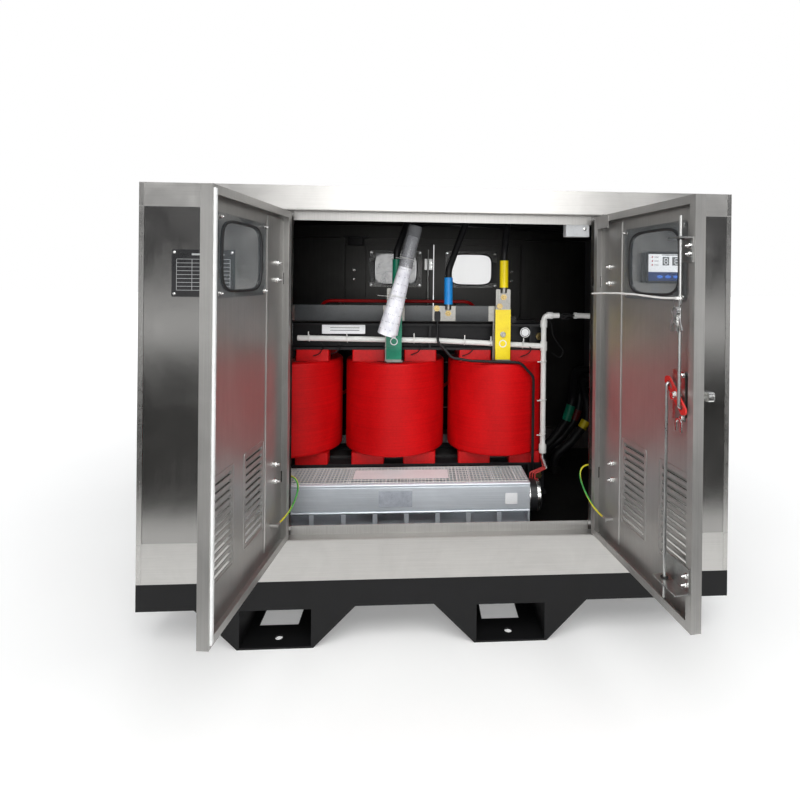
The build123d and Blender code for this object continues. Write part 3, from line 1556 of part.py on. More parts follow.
for name, points in (("earth_wire_left", left_wire), ("earth_wire_right", right_wire)):
    radii = smooth_radii(points)
    print(name, "radii", [round(r, 1) for r in radii])
    with BuildPart() as wire:
        round_run(points, radii, earth_wire_radius)
    route = sum((Vector(*b) - Vector(*a)).length for a, b in zip(points, points[1:]))
    print(name, "runs", round(route, 1))
    print(name, "length from volume", round(wire.part.volume / (pi * earth_wire_radius**2), 1))
    hand_over(wire, name)
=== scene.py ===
"""Looks for the dry type transformer in its stainless enclosure: finishes, trim, wires and small fittings."""

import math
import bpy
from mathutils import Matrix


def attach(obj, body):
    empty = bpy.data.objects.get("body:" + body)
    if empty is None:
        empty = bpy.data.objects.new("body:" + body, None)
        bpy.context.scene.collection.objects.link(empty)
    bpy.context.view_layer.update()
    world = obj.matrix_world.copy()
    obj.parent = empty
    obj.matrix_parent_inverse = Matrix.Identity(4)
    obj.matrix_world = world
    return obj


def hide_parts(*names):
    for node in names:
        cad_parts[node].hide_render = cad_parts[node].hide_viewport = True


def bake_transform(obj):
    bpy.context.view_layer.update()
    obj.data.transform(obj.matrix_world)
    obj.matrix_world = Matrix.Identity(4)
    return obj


bl_info = {
    "name": "Dry type transformer looks",
    "version": (1, 0, 0),
    "blender": (4, 5, 0),
    "location": "3D View > Sidebar > Transformer",
    "description": "Finishes, trim, wires and small fittings for an enclosed dry type transformer",
    "category": "Object",
}

import bpy
import numpy as np
from bpy.props import FloatProperty, FloatVectorProperty, PointerProperty
from bpy.types import Operator, Panel, PropertyGroup
from mathutils import Matrix

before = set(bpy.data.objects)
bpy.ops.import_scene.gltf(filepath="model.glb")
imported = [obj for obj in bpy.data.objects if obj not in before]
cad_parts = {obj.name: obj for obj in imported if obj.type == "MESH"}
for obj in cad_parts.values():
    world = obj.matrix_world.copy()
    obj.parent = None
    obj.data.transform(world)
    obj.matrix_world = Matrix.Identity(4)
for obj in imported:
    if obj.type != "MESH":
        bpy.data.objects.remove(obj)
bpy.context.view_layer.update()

MM = 0.001
X = np.array((1.0, 0.0, 0.0))
Y = np.array((0.0, 1.0, 0.0))
Z = np.array((0.0, 0.0, 1.0))

# Places that the CAD source gives, in mm
FRONT = -550.0
REAR = 550.0
LEFT = -695.0
RIGHT = 955.0
ROOF_BOTTOM = 1205.0
ROOF_TOP = 1270.0
LEAF_BOTTOM = 304.0
LEAF_TOP = 1196.0
LEAF_MIDDLE = (LEAF_TOP + LEAF_BOTTOM) / 2
SHEET = 2.0
LEAF_DEPTH = 24.0
WINDOW_S = 262.0
WINDOW_Z = 1062.0
COILS = (-378.0, -21.0, 336.0)
BAR_FACE = -290.0
NEUTRAL_FACE = -272.0
CLAMP_FACE = -241.0
CONDUIT_Y = -250.3
CONDUIT_RADIUS = 9.0
FAN_FACE = -389.0
FAN_TOP = 385.0
FAN_LEFT = -453.0
FAN_RIGHT = 411.0
ROD_Y = 40.0
UPPER_ROD_S = 417.2
LOWER_ROD_S = 374.8
UPPER_GUIDE_Z = 1108.0
LOWER_GUIDE_Z = 384.0
LOUVRE_S = (184.0, 350.0)
LOUVRE_Z = 502.6
LOUVRE_WIDTH = 112.0
LOUVRE_HEIGHT = 218.0
HINGE_STRIP_S = 71.0
HINGE_STRIP_WIDTH = 98.0
HINGE_STRIP_MARGIN = 20.0
LOCK_SCREW_DEPTH = 27.0
CONTROLLER_FACE = FRONT - 30.0
CONTROLLER_LEFT = 692.0
CONTROLLER_BOTTOM = 1013.0
PANE_THICKNESS = 4.0
PANE_SCREW_S = (-116.0, 116.0)
PANE_SCREW_Z = (-78.0, 78.0)
FAN_AXIS_Y = {"front": -315.0, "rear": 55.0}
FAN_AXIS_Z = 318.5
FAN_HALF_DEPTH = 74.0
MOTOR_RADIUS = 50.0
NEUTRAL_Z = 903.0
RISER_X = 482.0
ELBOW_Z = 897.0

# Camera at the photograph's viewing angle: lens and sensor in mm, its place in m, then its right,
# up and backward directions
LENS = 23.985
SENSOR = 36.0
CAMERA_SHIFT = (-0.065, -0.151)
CAMERA_PLACE = (0.0539, -2.0325, 1.0207)
CAMERA_AXES = (
    (0.99788, -0.0641969, 0.0106769),
    (-0.0105, 0.0030921, 0.99994),
    (-0.0642261, -0.9979325, 0.0024114),
)


def leaf_axes(hinge_x, face_y, degrees, hand, body):
    """A leaf's hinge foot, its direction to the free edge, its inward direction and its body."""
    turn = math.radians(degrees)
    along = hand * np.array((math.cos(turn), math.sin(turn), 0.0))
    inward = np.array((-math.sin(turn), math.cos(turn), 0.0))
    return np.array((hinge_x, face_y, 0.0)), along, inward, body


LEAVES = {
    "front_left": leaf_axes(-314.0, FRONT, -96.0, 1, "front_left_door"),
    "front_right": leaf_axes(574.0, FRONT, 98.0, -1, "front_right_door"),
    "rear_left": leaf_axes(574.0, REAR, 180.0, 1, "rear_left_door"),
    "rear_right": leaf_axes(-314.0, REAR, 180.0, -1, "rear_right_door"),
}


# Surfaces


class Place:
    """An origin in mm with three directions, in which a shape is drawn."""

    def __init__(self, origin, across=X, up=Y, out=Z):
        self.origin = np.array(origin, float)
        self.basis = np.array((across, up, out), float)

    def world(self, points):
        """Origin plus each point's numbers times the three directions."""
        return self.origin + points @ self.basis


def facing_front(x, z, y):
    """A place on a face that looks to the front."""
    return Place((x, y, z), X, Z, -Y)


def facing_up(x, y, z):
    """A place on a level face."""
    return Place((x, y, z), X, Y, Z)


def on_leaf(leaf, s, z, depth=SHEET, outside=False):
    """A place on a leaf, s from the hinge and depth in from its outer face."""
    hinge, along, inward, _ = LEAVES[leaf]
    origin = hinge + along * s + inward * depth + Z * z
    return Place(origin, along, Z, -inward if outside else inward)


class Shape:
    """Rings of points gathered into one piece."""

    def __init__(self):
        self.points = []
        self.faces = []
        self.count = 0

    def add_faces(self, points, faces, place=None):
        """Adds points with their faces, turned round where the place mirrors them."""
        mirrored = False
        if place is not None:
            points = place.world(points)
            mirrored = np.linalg.det(place.basis) < 0
        for face in faces:
            face = [int(index) + self.count for index in face]
            self.faces.append(face[::-1] if mirrored else face)
        self.points.append(points)
        self.count += len(points)
        return self

    def add(self, rings, place=None, closed=False):
        """Skins rings (m, k, 3): point (i, j) joins (i + 1, j) and (i, j + 1), and the ends are capped."""
        m, k = rings.shape[:2]
        i, j = np.meshgrid(np.arange(m if closed else m - 1), np.arange(k), indexing="ij")
        after, beside = (i + 1) % m, (j + 1) % k
        quads = np.stack((i * k + j, i * k + beside, after * k + beside, after * k + j), -1)
        faces = quads.reshape(-1, 4).tolist()
        if not closed:
            faces.append(np.arange(k)[::-1].tolist())
            faces.append((np.arange(k) + (m - 1) * k).tolist())
        return self.add_faces(rings.reshape(-1, 3), faces, place)

    def make(self, name, body, finish_name, sharp=35.0):
        """Turns the gathered rings into an object that rides on a body."""
        mesh = bpy.data.meshes.new(name)
        mesh.from_pydata((np.concatenate(self.points) * MM).tolist(), [], self.faces)
        mesh.validate()
        mesh.shade_smooth()
        mesh.set_sharp_from_angle(angle=math.radians(sharp))
        piece = bpy.data.objects.new(name, mesh)
        bpy.context.scene.collection.objects.link(piece)
        mesh.materials.append(FINISHES[finish_name])
        if body:
            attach(piece, body)
        return piece


def circle(radius, sides):
    """Points (r cos t, r sin t) at equal steps of t."""
    t = np.arange(sides) * 2 * np.pi / sides
    return radius * np.stack((np.cos(t), np.sin(t)), -1)


def at_height(outline, height):
    """An outline in its plane, lifted to a height."""
    return np.column_stack((outline, np.full(len(outline), float(height))))


def turned(profile, sides=24):
    """A profile of (radius, height) turned about the third axis: (r cos t, r sin t, h)."""
    return np.stack([at_height(circle(r, sides), h) for r, h in profile])


def rounded_box(width, height, corner, inset=0.0, steps=4):
    """A rectangle with quarter circles at its corners: centre of corner + r (cos t, sin t)."""
    r = max(corner - inset, 0.05)
    a, b = width / 2 - inset - r, height / 2 - inset - r
    t = np.linspace(0, np.pi / 2, steps + 1)
    arcs = []
    for turn, (sx, sy) in enumerate(((1, 1), (-1, 1), (-1, -1), (1, -1))):
        arc = t + turn * np.pi / 2
        arcs.append(np.stack((sx * a + r * np.cos(arc), sy * b + r * np.sin(arc)), -1))
    return np.concatenate(arcs)


def mirrored(profile):
    """A profile followed by its mirror image about height 0."""
    return (*profile, *((r, -h) for r, h in profile[::-1]))


def flat_ring(inner, outer, low, high, sides=32):
    """A ring of rectangular section about the third axis."""
    return turned(((inner, low), (outer, low), (outer, high), (inner, high)), sides)


def stepped_box(width, height, corner, levels):
    """Rounded rectangles, one at each (inset, height) level."""
    return np.stack([at_height(rounded_box(width, height, corner, i), h) for i, h in levels])


def plate(width, height, thickness, corner=3.0, edge=0.6, base=0.0):
    """A plate with rounded corners and a small chamfer round its face."""
    levels = ((0.0, base), (0.0, base + thickness - edge), (edge, base + thickness))
    return stepped_box(width, height, corner, levels)


def add_plate(name, finish_name, place, *size, body="enclosure"):
    """Makes one plate of this size into a piece."""
    return Shape().add(plate(*size), place).make(name, body, finish_name)


def bowed_window(grow, steps=80):
    """The window's outline: a superellipse |x/a|^n + |z/b|^n = 1 with n = 4.6."""
    t = np.arange(steps) * 2 * np.pi / steps
    power = 2 / 4.6
    c, s = np.cos(t), np.sin(t)
    a, b = 102.0 + grow, 75.0 + grow
    return np.stack((a * np.sign(c) * abs(c) ** power, b * np.sign(s) * abs(s) ** power), -1)


def carried(path, section, up=Z, closed=False):
    """A section (a, b) carried along a path: p + a * side + b * top, with side = up x tangent."""
    path = np.array(path, float)
    if closed:
        tangent = np.roll(path, -1, 0) - np.roll(path, 1, 0)
    else:
        tangent = np.gradient(path, axis=0)
    tangent /= np.linalg.norm(tangent, axis=1)[:, None]
    side = np.cross(up, tangent)
    side /= np.linalg.norm(side, axis=1)[:, None]
    top = np.cross(tangent, side)
    a, b = section[:, 0], section[:, 1]
    return path[:, None] + side[:, None] * a[None, :, None] + top[:, None] * b[None, :, None]


def smooth_line(points, count=48):
    """A line through the points: each number is a Catmull-Rom cubic of its four neighbours."""
    p = np.array(points, float)
    p = np.concatenate((2 * p[:1] - p[1:2], p, 2 * p[-1:] - p[-2:-1]))
    u = np.linspace(0, len(p) - 3 - 1e-6, count)
    i = u.astype(int)
    f = (u - i)[:, None]
    a, b, c, d = p[i], p[i + 1], p[i + 2], p[i + 3]
    return 0.5 * (2 * b + (c - a) * f + (2 * a - 5 * b + 4 * c - d) * f**2 + (3 * b - a - 3 * c + d) * f**3)


def thin_wire(points, radius, count=48, up=Z, sides=10):
    """A round wire through the points."""
    return carried(smooth_line(points, count), circle(radius, sides), up)


def hoop(ring, a, b, sides=8, up=Z):
    """An oval section carried round a closed ring."""
    return carried(ring, circle(1.0, sides) * (a, b), up, closed=True)


def strap(points, count, a, b, sides=6, up=Z):
    """An oval section carried along a smooth line through the points."""
    return carried(smooth_line(points, count), circle(1.0, sides) * (a, b), up)


def loop_path(centre, radius_a, radius_b, axis_a, axis_b, count=32):
    """An ellipse: centre + a cos t axis_a + b sin t axis_b."""
    t = np.arange(count) * 2 * np.pi / count
    return np.array(centre) + np.outer(radius_a * np.cos(t), axis_a) + np.outer(radius_b * np.sin(t), axis_b)


def bolt_rings(across, head, washer, stud=0.0):
    """Profiles of a washer, a chamfered hexagon head and a threaded stud end, as three skins."""
    flat = circle(across / math.sqrt(3), 6)
    washer_skin = turned(((across * 0.62, 0), (across * 0.62, washer - 0.3), (across * 0.58, washer)), 28)
    head_skin = np.stack(
        (
            at_height(flat * 0.97, washer),
            at_height(flat, washer + 0.6),
            at_height(flat, washer + head - 1.0),
            at_height(flat * 0.88, washer + head),
        )
    )
    skins = [washer_skin, head_skin]
    if stud:
        base = washer + head
        turns = np.arange(0, stud - 1.0, 0.75)
        thread = [(across * (0.27 if k % 2 else 0.235), base + h) for k, h in enumerate(turns)]
        skins.append(turned(((across * 0.25, base - 1), *thread, (across * 0.2, base + stud)), 16))
    return skins


def add_bolt(shape, place, across, head, washer, stud=0.0):
    """Adds one bolt's skins to a shape."""
    for rings in bolt_rings(across, head, washer, stud):
        shape.add(rings, place)


def screw_dome(radius, height):
    """A pan head screw: a turned profile that rounds over."""
    t = np.linspace(0, 0.46 * np.pi, 6)
    rim = [(radius * math.cos(a), height * (0.35 + 0.65 * math.sin(a))) for a in t]
    return turned(((radius, 0), *rim), 20)


# Finishes

FINISHES = {}


class Recipe:
    """Builds one node material on object coordinates."""

    def __init__(self, name, metal=0.0, **sockets):
        self.material = bpy.data.materials.new(name)
        self.material.use_nodes = True
        self.tree = self.material.node_tree
        self.shader = self.tree.nodes["Principled BSDF"]
        self.shader.inputs["Metallic"].default_value = metal
        for socket, value in sockets.items():
            self.shader.inputs[socket.replace("_", " ")].default_value = value
        self.place = self.node("ShaderNodeTexCoord").outputs["Object"]
        FINISHES[name] = self.material

    def node(self, kind, **settings):
        made = self.tree.nodes.new(kind)
        for key, value in settings.items():
            setattr(made, key, value)
        return made

    def join(self, output, target):
        self.tree.links.new(output, target)

    def noise(self, scale, detail=4.0, rough=0.55, twist=0.0):
        """Noise at a scale of its own along each axis."""
        mapping = self.node("ShaderNodeMapping")
        mapping.inputs["Scale"].default_value = scale if hasattr(scale, "__len__") else (scale,) * 3
        self.join(self.place, mapping.inputs["Vector"])
        noise = self.node("ShaderNodeTexNoise")
        noise.inputs["Scale"].default_value = 1.0
        noise.inputs["Detail"].default_value = detail
        noise.inputs["Roughness"].default_value = rough
        noise.inputs["Distortion"].default_value = twist
        self.join(mapping.outputs["Vector"], noise.inputs["Vector"])
        return noise.outputs["Fac"]

    def along(self, axis):
        """One of the three object coordinates."""
        split = self.node("ShaderNodeSeparateXYZ")
        self.join(self.place, split.inputs["Vector"])
        return split.outputs[axis]

    def sum(self, *terms):
        """The sum of (output, weight) terms."""
        total = None
        for output, weight in terms:
            scaled = self.node("ShaderNodeMath", operation="MULTIPLY")
            self.join(output, scaled.inputs[0])
            scaled.inputs[1].default_value = weight
            if total is None:
                total = scaled.outputs[0]
                continue
            added = self.node("ShaderNodeMath", operation="ADD")
            self.join(total, added.inputs[0])
            self.join(scaled.outputs[0], added.inputs[1])
            total = added.outputs[0]
        return total

    def span(self, output, low, high, to_low, to_high):
        """Maps low to high onto another span, held at its ends."""
        mapped = self.node("ShaderNodeMapRange")
        for socket, value in zip(("From Min", "From Max", "To Min", "To Max"), (low, high, to_low, to_high)):
            mapped.inputs[socket].default_value = value
        self.join(output, mapped.inputs["Value"])
        return mapped.outputs["Result"]

    def ramp(self, output, stops, sharp=False):
        """A colour ramp of (position, colour) stops."""
        made = self.node("ShaderNodeValToRGB")
        band = made.color_ramp
        band.interpolation = "CONSTANT" if sharp else "LINEAR"
        for index, (position, colour) in enumerate(stops):
            stop = band.elements[index] if index < 2 else band.elements.new(position)
            stop.position = position
            stop.color = (*colour, 1.0)
        self.join(output, made.inputs["Fac"])
        return made.outputs["Color"]

    def blend(self, share, first, second, mode="MIX"):
        """Mixes two colours by a share."""
        mix = self.node("ShaderNodeMix", data_type="RGBA", blend_type=mode)
        self.join(share, mix.inputs["Factor"])
        for socket, value in ((mix.inputs[6], first), (mix.inputs[7], second)):
            if isinstance(value, tuple):
                socket.default_value = (*value, 1.0)
            else:
                self.join(value, socket)
        return mix.outputs[2]

    def colour(self, output):
        self.join(output, self.shader.inputs["Base Color"])

    def rough(self, output, low, high):
        self.join(self.span(output, 0.3, 0.7, low, high), self.shader.inputs["Roughness"])

    def bump(self, output, distance, strength=0.5):
        made = self.node("ShaderNodeBump")
        made.inputs["Distance"].default_value = distance
        made.inputs["Strength"].default_value = strength
        self.join(output, made.inputs["Height"])
        self.join(made.outputs["Normal"], self.shader.inputs["Normal"])


def mottled(
    name, light, dark, rough, grain=90.0, patch=5.0, metal=0.0, height=0.0002, strength=0.3, **sockets
):
    """A surface of two near colours, with fine grain over large soft patches."""
    made = Recipe(name, metal, **sockets)
    fine = made.noise(grain, 5.0)
    broad = made.noise(patch, 3.0, 0.6, 0.4)
    both = made.sum((fine, 0.45), (broad, 0.55))
    made.colour(made.ramp(both, ((0.3, dark), (0.7, light))))
    made.rough(both, *rough)
    made.bump(fine, height, strength)
    return made


def brushed(name, light, dark, rough, grain, smudge=6.0, **sockets):
    """Brushed metal: fine lines along the axis of the grain's small scale, with soft smudges."""
    made = Recipe(name, 1.0, **sockets)
    lines = made.noise(grain, 3.0, 0.7)
    smear = made.noise(smudge, 5.0, 0.62, 0.8)
    both = made.sum((lines, 0.5), (smear, 0.5))
    made.colour(made.ramp(both, ((0.32, dark), (0.66, light))))
    made.rough(made.sum((lines, 0.35), (smear, 0.65)), *rough)
    made.bump(lines, 0.00005, 0.25)
    return made


def make_finishes(looks):
    """All the finishes of this transformer."""
    steel = tuple(looks.steel_colour)
    worn = tuple(0.74 * value for value in steel)
    mirror = tuple(0.66 * value for value in steel)
    brushed("steel_panel", mirror, tuple(0.72 * v for v in mirror), (0.12, 0.26), (900.0, 900.0, 5.0), 5.0)
    bright, dull = (tuple(share * value for value in steel) for share in (1.05, 0.85))
    brushed("steel_band", bright, dull, (0.28, 0.42), (6.0, 6.0, 700.0), 9.0)
    soft = tuple(0.84 * value for value in steel)
    door = brushed("door_steel", soft, tuple(0.72 * v for v in soft), (0.3, 0.42), (700.0, 700.0, 5.0), 5.0)
    door.shader.inputs["Metallic"].default_value = 0.72
    # A dark copy of the steel for faces inside the enclosure: painted shade for the dark interior.
    inner = tuple(0.13 * value for value in steel)
    brushed("steel_painted_shade", inner, tuple(0.6 * v for v in inner), (0.36, 0.5), (700.0, 700.0, 5.0), 5.0)
    brushed("steel_post", steel, worn, (0.2, 0.34), (800.0, 800.0, 6.0), 7.0)
    mottled("zinc", (0.62, 0.62, 0.6), (0.4, 0.41, 0.41), (0.25, 0.42), 260.0, 24.0, 1.0)
    mottled("bright_zinc", (0.86, 0.86, 0.84), (0.66, 0.66, 0.65), (0.16, 0.3), 260.0, 24.0, 1.0)
    mottled("brass", (0.5, 0.38, 0.17), (0.3, 0.22, 0.1), (0.2, 0.38), 260.0, 24.0, 1.0)
    mottled("tinned", (0.4, 0.39, 0.36), (0.24, 0.235, 0.22), (0.28, 0.45), 200.0, 30.0, 1.0)
    fan = brushed("fan_silver", (0.86, 0.91, 0.96), (0.7, 0.75, 0.8), (0.34, 0.48), (5.0, 400.0, 400.0), 6.0)
    fan.shader.inputs["Metallic"].default_value = 0.55
    for name, light, dark, rough, grain, patch, specular in (
        ("skid_paint", (0.01, 0.01, 0.011), (0.004, 0.004, 0.004), (0.45, 0.65), 160.0, 7.0, 0.25),
        ("clamp_paint", (0.016, 0.016, 0.018), (0.007, 0.007, 0.008), (0.36, 0.52), 140.0, 9.0, 0.3),
        ("floor_paint", (0.016, 0.015, 0.014), (0.005, 0.005, 0.005), (0.5, 0.8), 90.0, 6.0, 0.25),
        ("cable_jacket", (0.014, 0.014, 0.015), (0.007, 0.007, 0.008), (0.34, 0.5), 240.0, 14.0, 0.3),
    ):
        mottled(name, light, dark, rough, grain, patch, Specular_IOR_Level=specular)
    mottled("duct_paint", (0.075, 0.077, 0.08), (0.045, 0.046, 0.047), (0.4, 0.55), 120.0, 5.0)
    mottled("rubber", (0.02, 0.02, 0.021), (0.01, 0.01, 0.01), (0.55, 0.75), 300.0, 14.0)
    mottled("white_pvc", (0.86, 0.86, 0.84), (0.72, 0.72, 0.69), (0.28, 0.42), 120.0, 9.0)
    mottled("white_tie", (0.85, 0.85, 0.82), (0.7, 0.7, 0.68), (0.35, 0.5), 200.0, 30.0)
    mottled("foam_seal", (0.82, 0.83, 0.82), (0.62, 0.63, 0.62), (0.7, 0.9), 500.0, 20.0, 0.0, 0.0006, 0.5)
    mottled("black_plastic", (0.022, 0.022, 0.024), (0.012, 0.012, 0.013), (0.3, 0.45), 400.0, 20.0)
    mottled("grey_plastic", (0.5, 0.51, 0.52), (0.36, 0.37, 0.38), (0.4, 0.55), 300.0, 20.0)
    mottled("white_label", (0.94, 0.95, 0.96), (0.84, 0.85, 0.86), (0.4, 0.55), 200.0, 14.0)
    mottled("silver_label", (0.5, 0.53, 0.58), (0.26, 0.28, 0.32), (0.3, 0.42), 420.0, 60.0)
    mottled("plate_black", (0.02, 0.02, 0.022), (0.01, 0.01, 0.011), (0.24, 0.38), 300.0, 14.0)
    mottled("plate_line", (0.62, 0.63, 0.63), (0.42, 0.43, 0.43), (0.3, 0.45), 300.0, 14.0, 0.6)
    mottled("cam_paint", (0.62, 0.03, 0.025), (0.4, 0.015, 0.012), (0.28, 0.42), 160.0, 14.0)
    mottled("screen_dark", (0.16, 0.17, 0.17), (0.1, 0.105, 0.11), (0.14, 0.22), 200.0, 20.0)
    mottled("segment", (0.03, 0.03, 0.032), (0.02, 0.02, 0.021), (0.3, 0.4), 200.0, 20.0)
    mottled("face_white", (0.82, 0.84, 0.86), (0.7, 0.72, 0.74), (0.3, 0.42), 200.0, 14.0)
    mottled("band_blue", (0.02, 0.045, 0.15), (0.012, 0.028, 0.1), (0.3, 0.42), 200.0, 14.0)
    mottled("key_blue", (0.05, 0.2, 0.75), (0.03, 0.12, 0.5), (0.3, 0.42), 200.0, 14.0)
    mottled("led_red", (0.5, 0.05, 0.04), (0.3, 0.02, 0.02), (0.2, 0.3), 200.0, 14.0)
    mottled("insulator_dark", (0.05, 0.03, 0.028), (0.02, 0.014, 0.013), (0.2, 0.35), 150.0, 14.0)
    for name, light, dark in (
        ("sleeve_red", (0.72, 0.02, 0.018), (0.45, 0.01, 0.01)),
        ("sleeve_green", (0.008, 0.29, 0.16), (0.005, 0.17, 0.1)),
        ("sleeve_yellow", (0.97, 0.78, 0.004), (0.85, 0.62, 0.003)),
        ("sleeve_blue", (0.015, 0.32, 0.8), (0.01, 0.2, 0.6)),
        ("sleeve_dark_red", (0.16, 0.012, 0.01), (0.08, 0.006, 0.005)),
        ("sleeve_grey", (0.055, 0.06, 0.063), (0.034, 0.037, 0.039)),
        ("lead_red", (0.6, 0.06, 0.05), (0.4, 0.03, 0.03)),
        ("lead_white", (0.75, 0.76, 0.76), (0.6, 0.61, 0.61)),
    ):
        mottled(name, light, dark, (0.26, 0.42), 220.0, 26.0, 0.0, 0.0003, 0.25)
    resin_finishes(tuple(looks.resin_colour))
    core_finish()
    clear_finishes()
    earth_finish()
    paper_finish()


def resin_finishes(resin):
    """Cast resin: a deep red with faint level wraps on the coils, and a plain one for the blocks."""
    deep = tuple(0.62 * value for value in resin)
    coil = Recipe("coil_resin", Specular_IOR_Level=0.12)
    wraps = coil.noise((3.0, 3.0, 230.0), 5.0, 0.7)
    cast = coil.noise((7.0, 7.0, 4.0), 4.0, 0.6, 0.6)
    pits = coil.noise(160.0, 2.0)
    both = coil.sum((wraps, 0.4), (cast, 0.4), (pits, 0.2))
    coil.colour(coil.ramp(both, ((0.34, deep), (0.62, resin))))
    coil.rough(both, 0.34, 0.5)
    coil.bump(coil.sum((wraps, 0.7), (pits, 0.3)), 0.0007, 0.5)
    block = mottled("block_resin", resin, deep, (0.34, 0.5), 150.0, 12.0, 0.0, 0.0004, 0.35)
    block.shader.inputs["Specular IOR Level"].default_value = 0.3
    mottled("foil_resin", (0.2, 0.03, 0.025), (0.1, 0.015, 0.012), (0.4, 0.55), 150.0, 12.0)


def core_finish():
    """Varnished laminations: thin level lines of light and dark through the depth."""
    core = Recipe("core_steel", 0.4)
    sheets = core.noise((3.0, 900.0, 3.0), 2.0, 0.7)
    rust = core.noise(14.0, 5.0, 0.65)
    both = core.sum((sheets, 0.6), (rust, 0.4))
    core.colour(core.ramp(both, ((0.35, (0.012, 0.012, 0.013)), (0.7, (0.07, 0.066, 0.062)))))
    core.rough(both, 0.4, 0.62)
    core.bump(sheets, 0.0003, 0.5)


def clear_finishes():
    """Clear plastic of the panes and the document tube, and the film behind a rear pane."""
    for name, colour, alpha, rough in (
        ("pane_clear", (0.3, 0.35, 0.38), 0.12, (0.03, 0.08)),
        ("tube_clear", (0.4, 0.41, 0.43), 0.45, (0.1, 0.26)),
    ):
        clear = Recipe(name, Alpha=alpha, Coat_Weight=0.4, Coat_Roughness=0.08)
        marks = clear.noise(30.0, 5.0, 0.65, 0.6)
        clear.colour(clear.ramp(marks, ((0.3, tuple(0.7 * v for v in colour)), (0.7, colour))))
        clear.rough(marks, *rough)
        clear.bump(marks, 0.0005, 0.2)
    film = Recipe("film_white", Alpha=0.4, Coat_Weight=0.5, Coat_Roughness=0.15)
    folds = film.noise((11.0, 11.0, 16.0), 3.0, 0.5, 1.6)
    # The colour is darker where the fold height is low: painted shade in the folds.
    film.colour(film.ramp(folds, ((0.38, (0.5, 0.52, 0.53)), (0.56, (0.95, 0.95, 0.94)))))
    film.rough(folds, 0.2, 0.5)
    film.bump(folds, 0.004, 0.7)


def earth_finish():
    """Green jacket with a yellow stripe that winds slowly round it, from the wire's own map."""
    wire = Recipe("earth_stripe")
    uv = wire.node("ShaderNodeUVMap", uv_map="length")
    split = wire.node("ShaderNodeSeparateXYZ")
    wire.join(uv.outputs["UV"], split.inputs["Vector"])
    wound = wire.sum((split.outputs["X"], 1.0), (split.outputs["Y"], 5.0))
    turn = wire.node("ShaderNodeMath", operation="FRACT")
    wire.join(wound, turn.inputs[0])
    stripe = wire.span(turn.outputs[0], 0.46, 0.5, 0.0, 1.0)
    dirt = wire.noise(120.0, 4.0)
    green = wire.ramp(dirt, ((0.3, (0.02, 0.2, 0.03)), (0.7, (0.05, 0.4, 0.07))))
    yellow = wire.ramp(dirt, ((0.3, (0.6, 0.5, 0.02)), (0.7, (0.85, 0.75, 0.05))))
    wire.colour(wire.blend(stripe, green, yellow))
    wire.rough(dirt, 0.32, 0.46)
    wire.bump(dirt, 0.0002, 0.2)


def paper_finish():
    """Rolled paper: off white with soft creases and short grey rows like ruled print."""
    paper = Recipe("paper")
    crease = paper.noise((30.0, 30.0, 18.0), 5.0, 0.6, 1.0)
    # The colour is darker where the crease height is low: painted shade in the creases.
    base = paper.ramp(crease, ((0.35, (0.7, 0.7, 0.76)), (0.6, (0.93, 0.93, 0.97))))
    rows = paper.node("ShaderNodeMath", operation="FRACT")
    level = paper.sum((paper.along("Z"), 40.0), (paper.along("X"), 10.0))
    paper.join(level, rows.inputs[0])
    broken = paper.noise((260.0, 260.0, 60.0), 1.0)
    ink = paper.node("ShaderNodeMath", operation="MULTIPLY")
    paper.join(paper.span(rows.outputs[0], 0.86, 0.88, 0.0, 1.0), ink.inputs[0])
    paper.join(paper.span(broken, 0.5, 0.56, 0.0, 0.45), ink.inputs[1])
    paper.colour(paper.blend(ink.outputs[0], base, (0.12, 0.13, 0.18)))
    paper.rough(crease, 0.5, 0.7)
    paper.bump(crease, 0.002, 0.5)


NODE_FINISH = {
    "steel_panel": (
        "front_panels",
        "rear_panels",
        "side_panels",
    ),
    "door_steel": (
        "front_door_left",
        "front_door_right",
        "rear_door_left",
        "rear_door_right",
        "doorway_rests",
    ),
    "steel_band": ("roof", "base_rail"),
    "steel_post": ("corner_posts",),
    "zinc": (
        "front_lock_case",
        "rear_lock_case",
        "front_upper_rod",
        "front_lower_rod",
        "rear_upper_rod",
        "rear_lower_rod",
    ),
    "bright_zinc": ("front_handle", "rear_handle", "keys"),
    "brass": ("bolts",),
    "cam_paint": ("front_lock_cam", "rear_lock_cam"),
    "skid_paint": ("skid_frame", "fork_pockets"),
    "floor_paint": ("floor_plate",),
    "duct_paint": ("cable_duct",),
    "pane_clear": ("front_pane_left", "front_pane_right", "rear_pane_left", "rear_pane_right"),
    "core_steel": ("core",),
    "clamp_paint": ("upper_clamps", "lower_clamps", "foot_channels"),
    "coil_resin": ("hv_coil_a", "hv_coil_b", "hv_coil_c"),
    "block_resin": ("coil_blocks", "hv_links"),
    "insulator_dark": ("hv_insulators",),
    "foil_resin": ("lv_coils",),
    "rubber": ("vibration_pads",),
    "tinned": ("lv_bars", "neutral_bar", "copper_links"),
    "cable_jacket": ("phase_cables", "earth_cable"),
    "white_pvc": ("sensor_conduit",),
    "fan_silver": ("fan_housings",),
    "black_plastic": ("fan_motors", "front_impeller", "rear_impeller", "controller"),
    "grey_plastic": ("door_switch",),
}


def paint_by_place(node, zones, other):
    """Gives each face of a CAD node the finish of the zone that holds its middle, in mm."""
    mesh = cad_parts[node].data
    mesh.materials.clear()
    names = list(dict.fromkeys([other] + [zone[0] for zone in zones]))
    for name in names:
        mesh.materials.append(FINISHES[name])
    middle = np.zeros(len(mesh.polygons) * 3)
    mesh.polygons.foreach_get("center", middle)
    middle = middle.reshape(-1, 3) / MM
    chosen = np.zeros(len(middle), int)
    for name, low, high in zones:
        inside = np.all((middle >= low) & (middle <= high), axis=1)
        chosen[inside] = names.index(name)
    mesh.polygons.foreach_set("material_index", chosen)
    mesh.update()


# Settings that a user would change


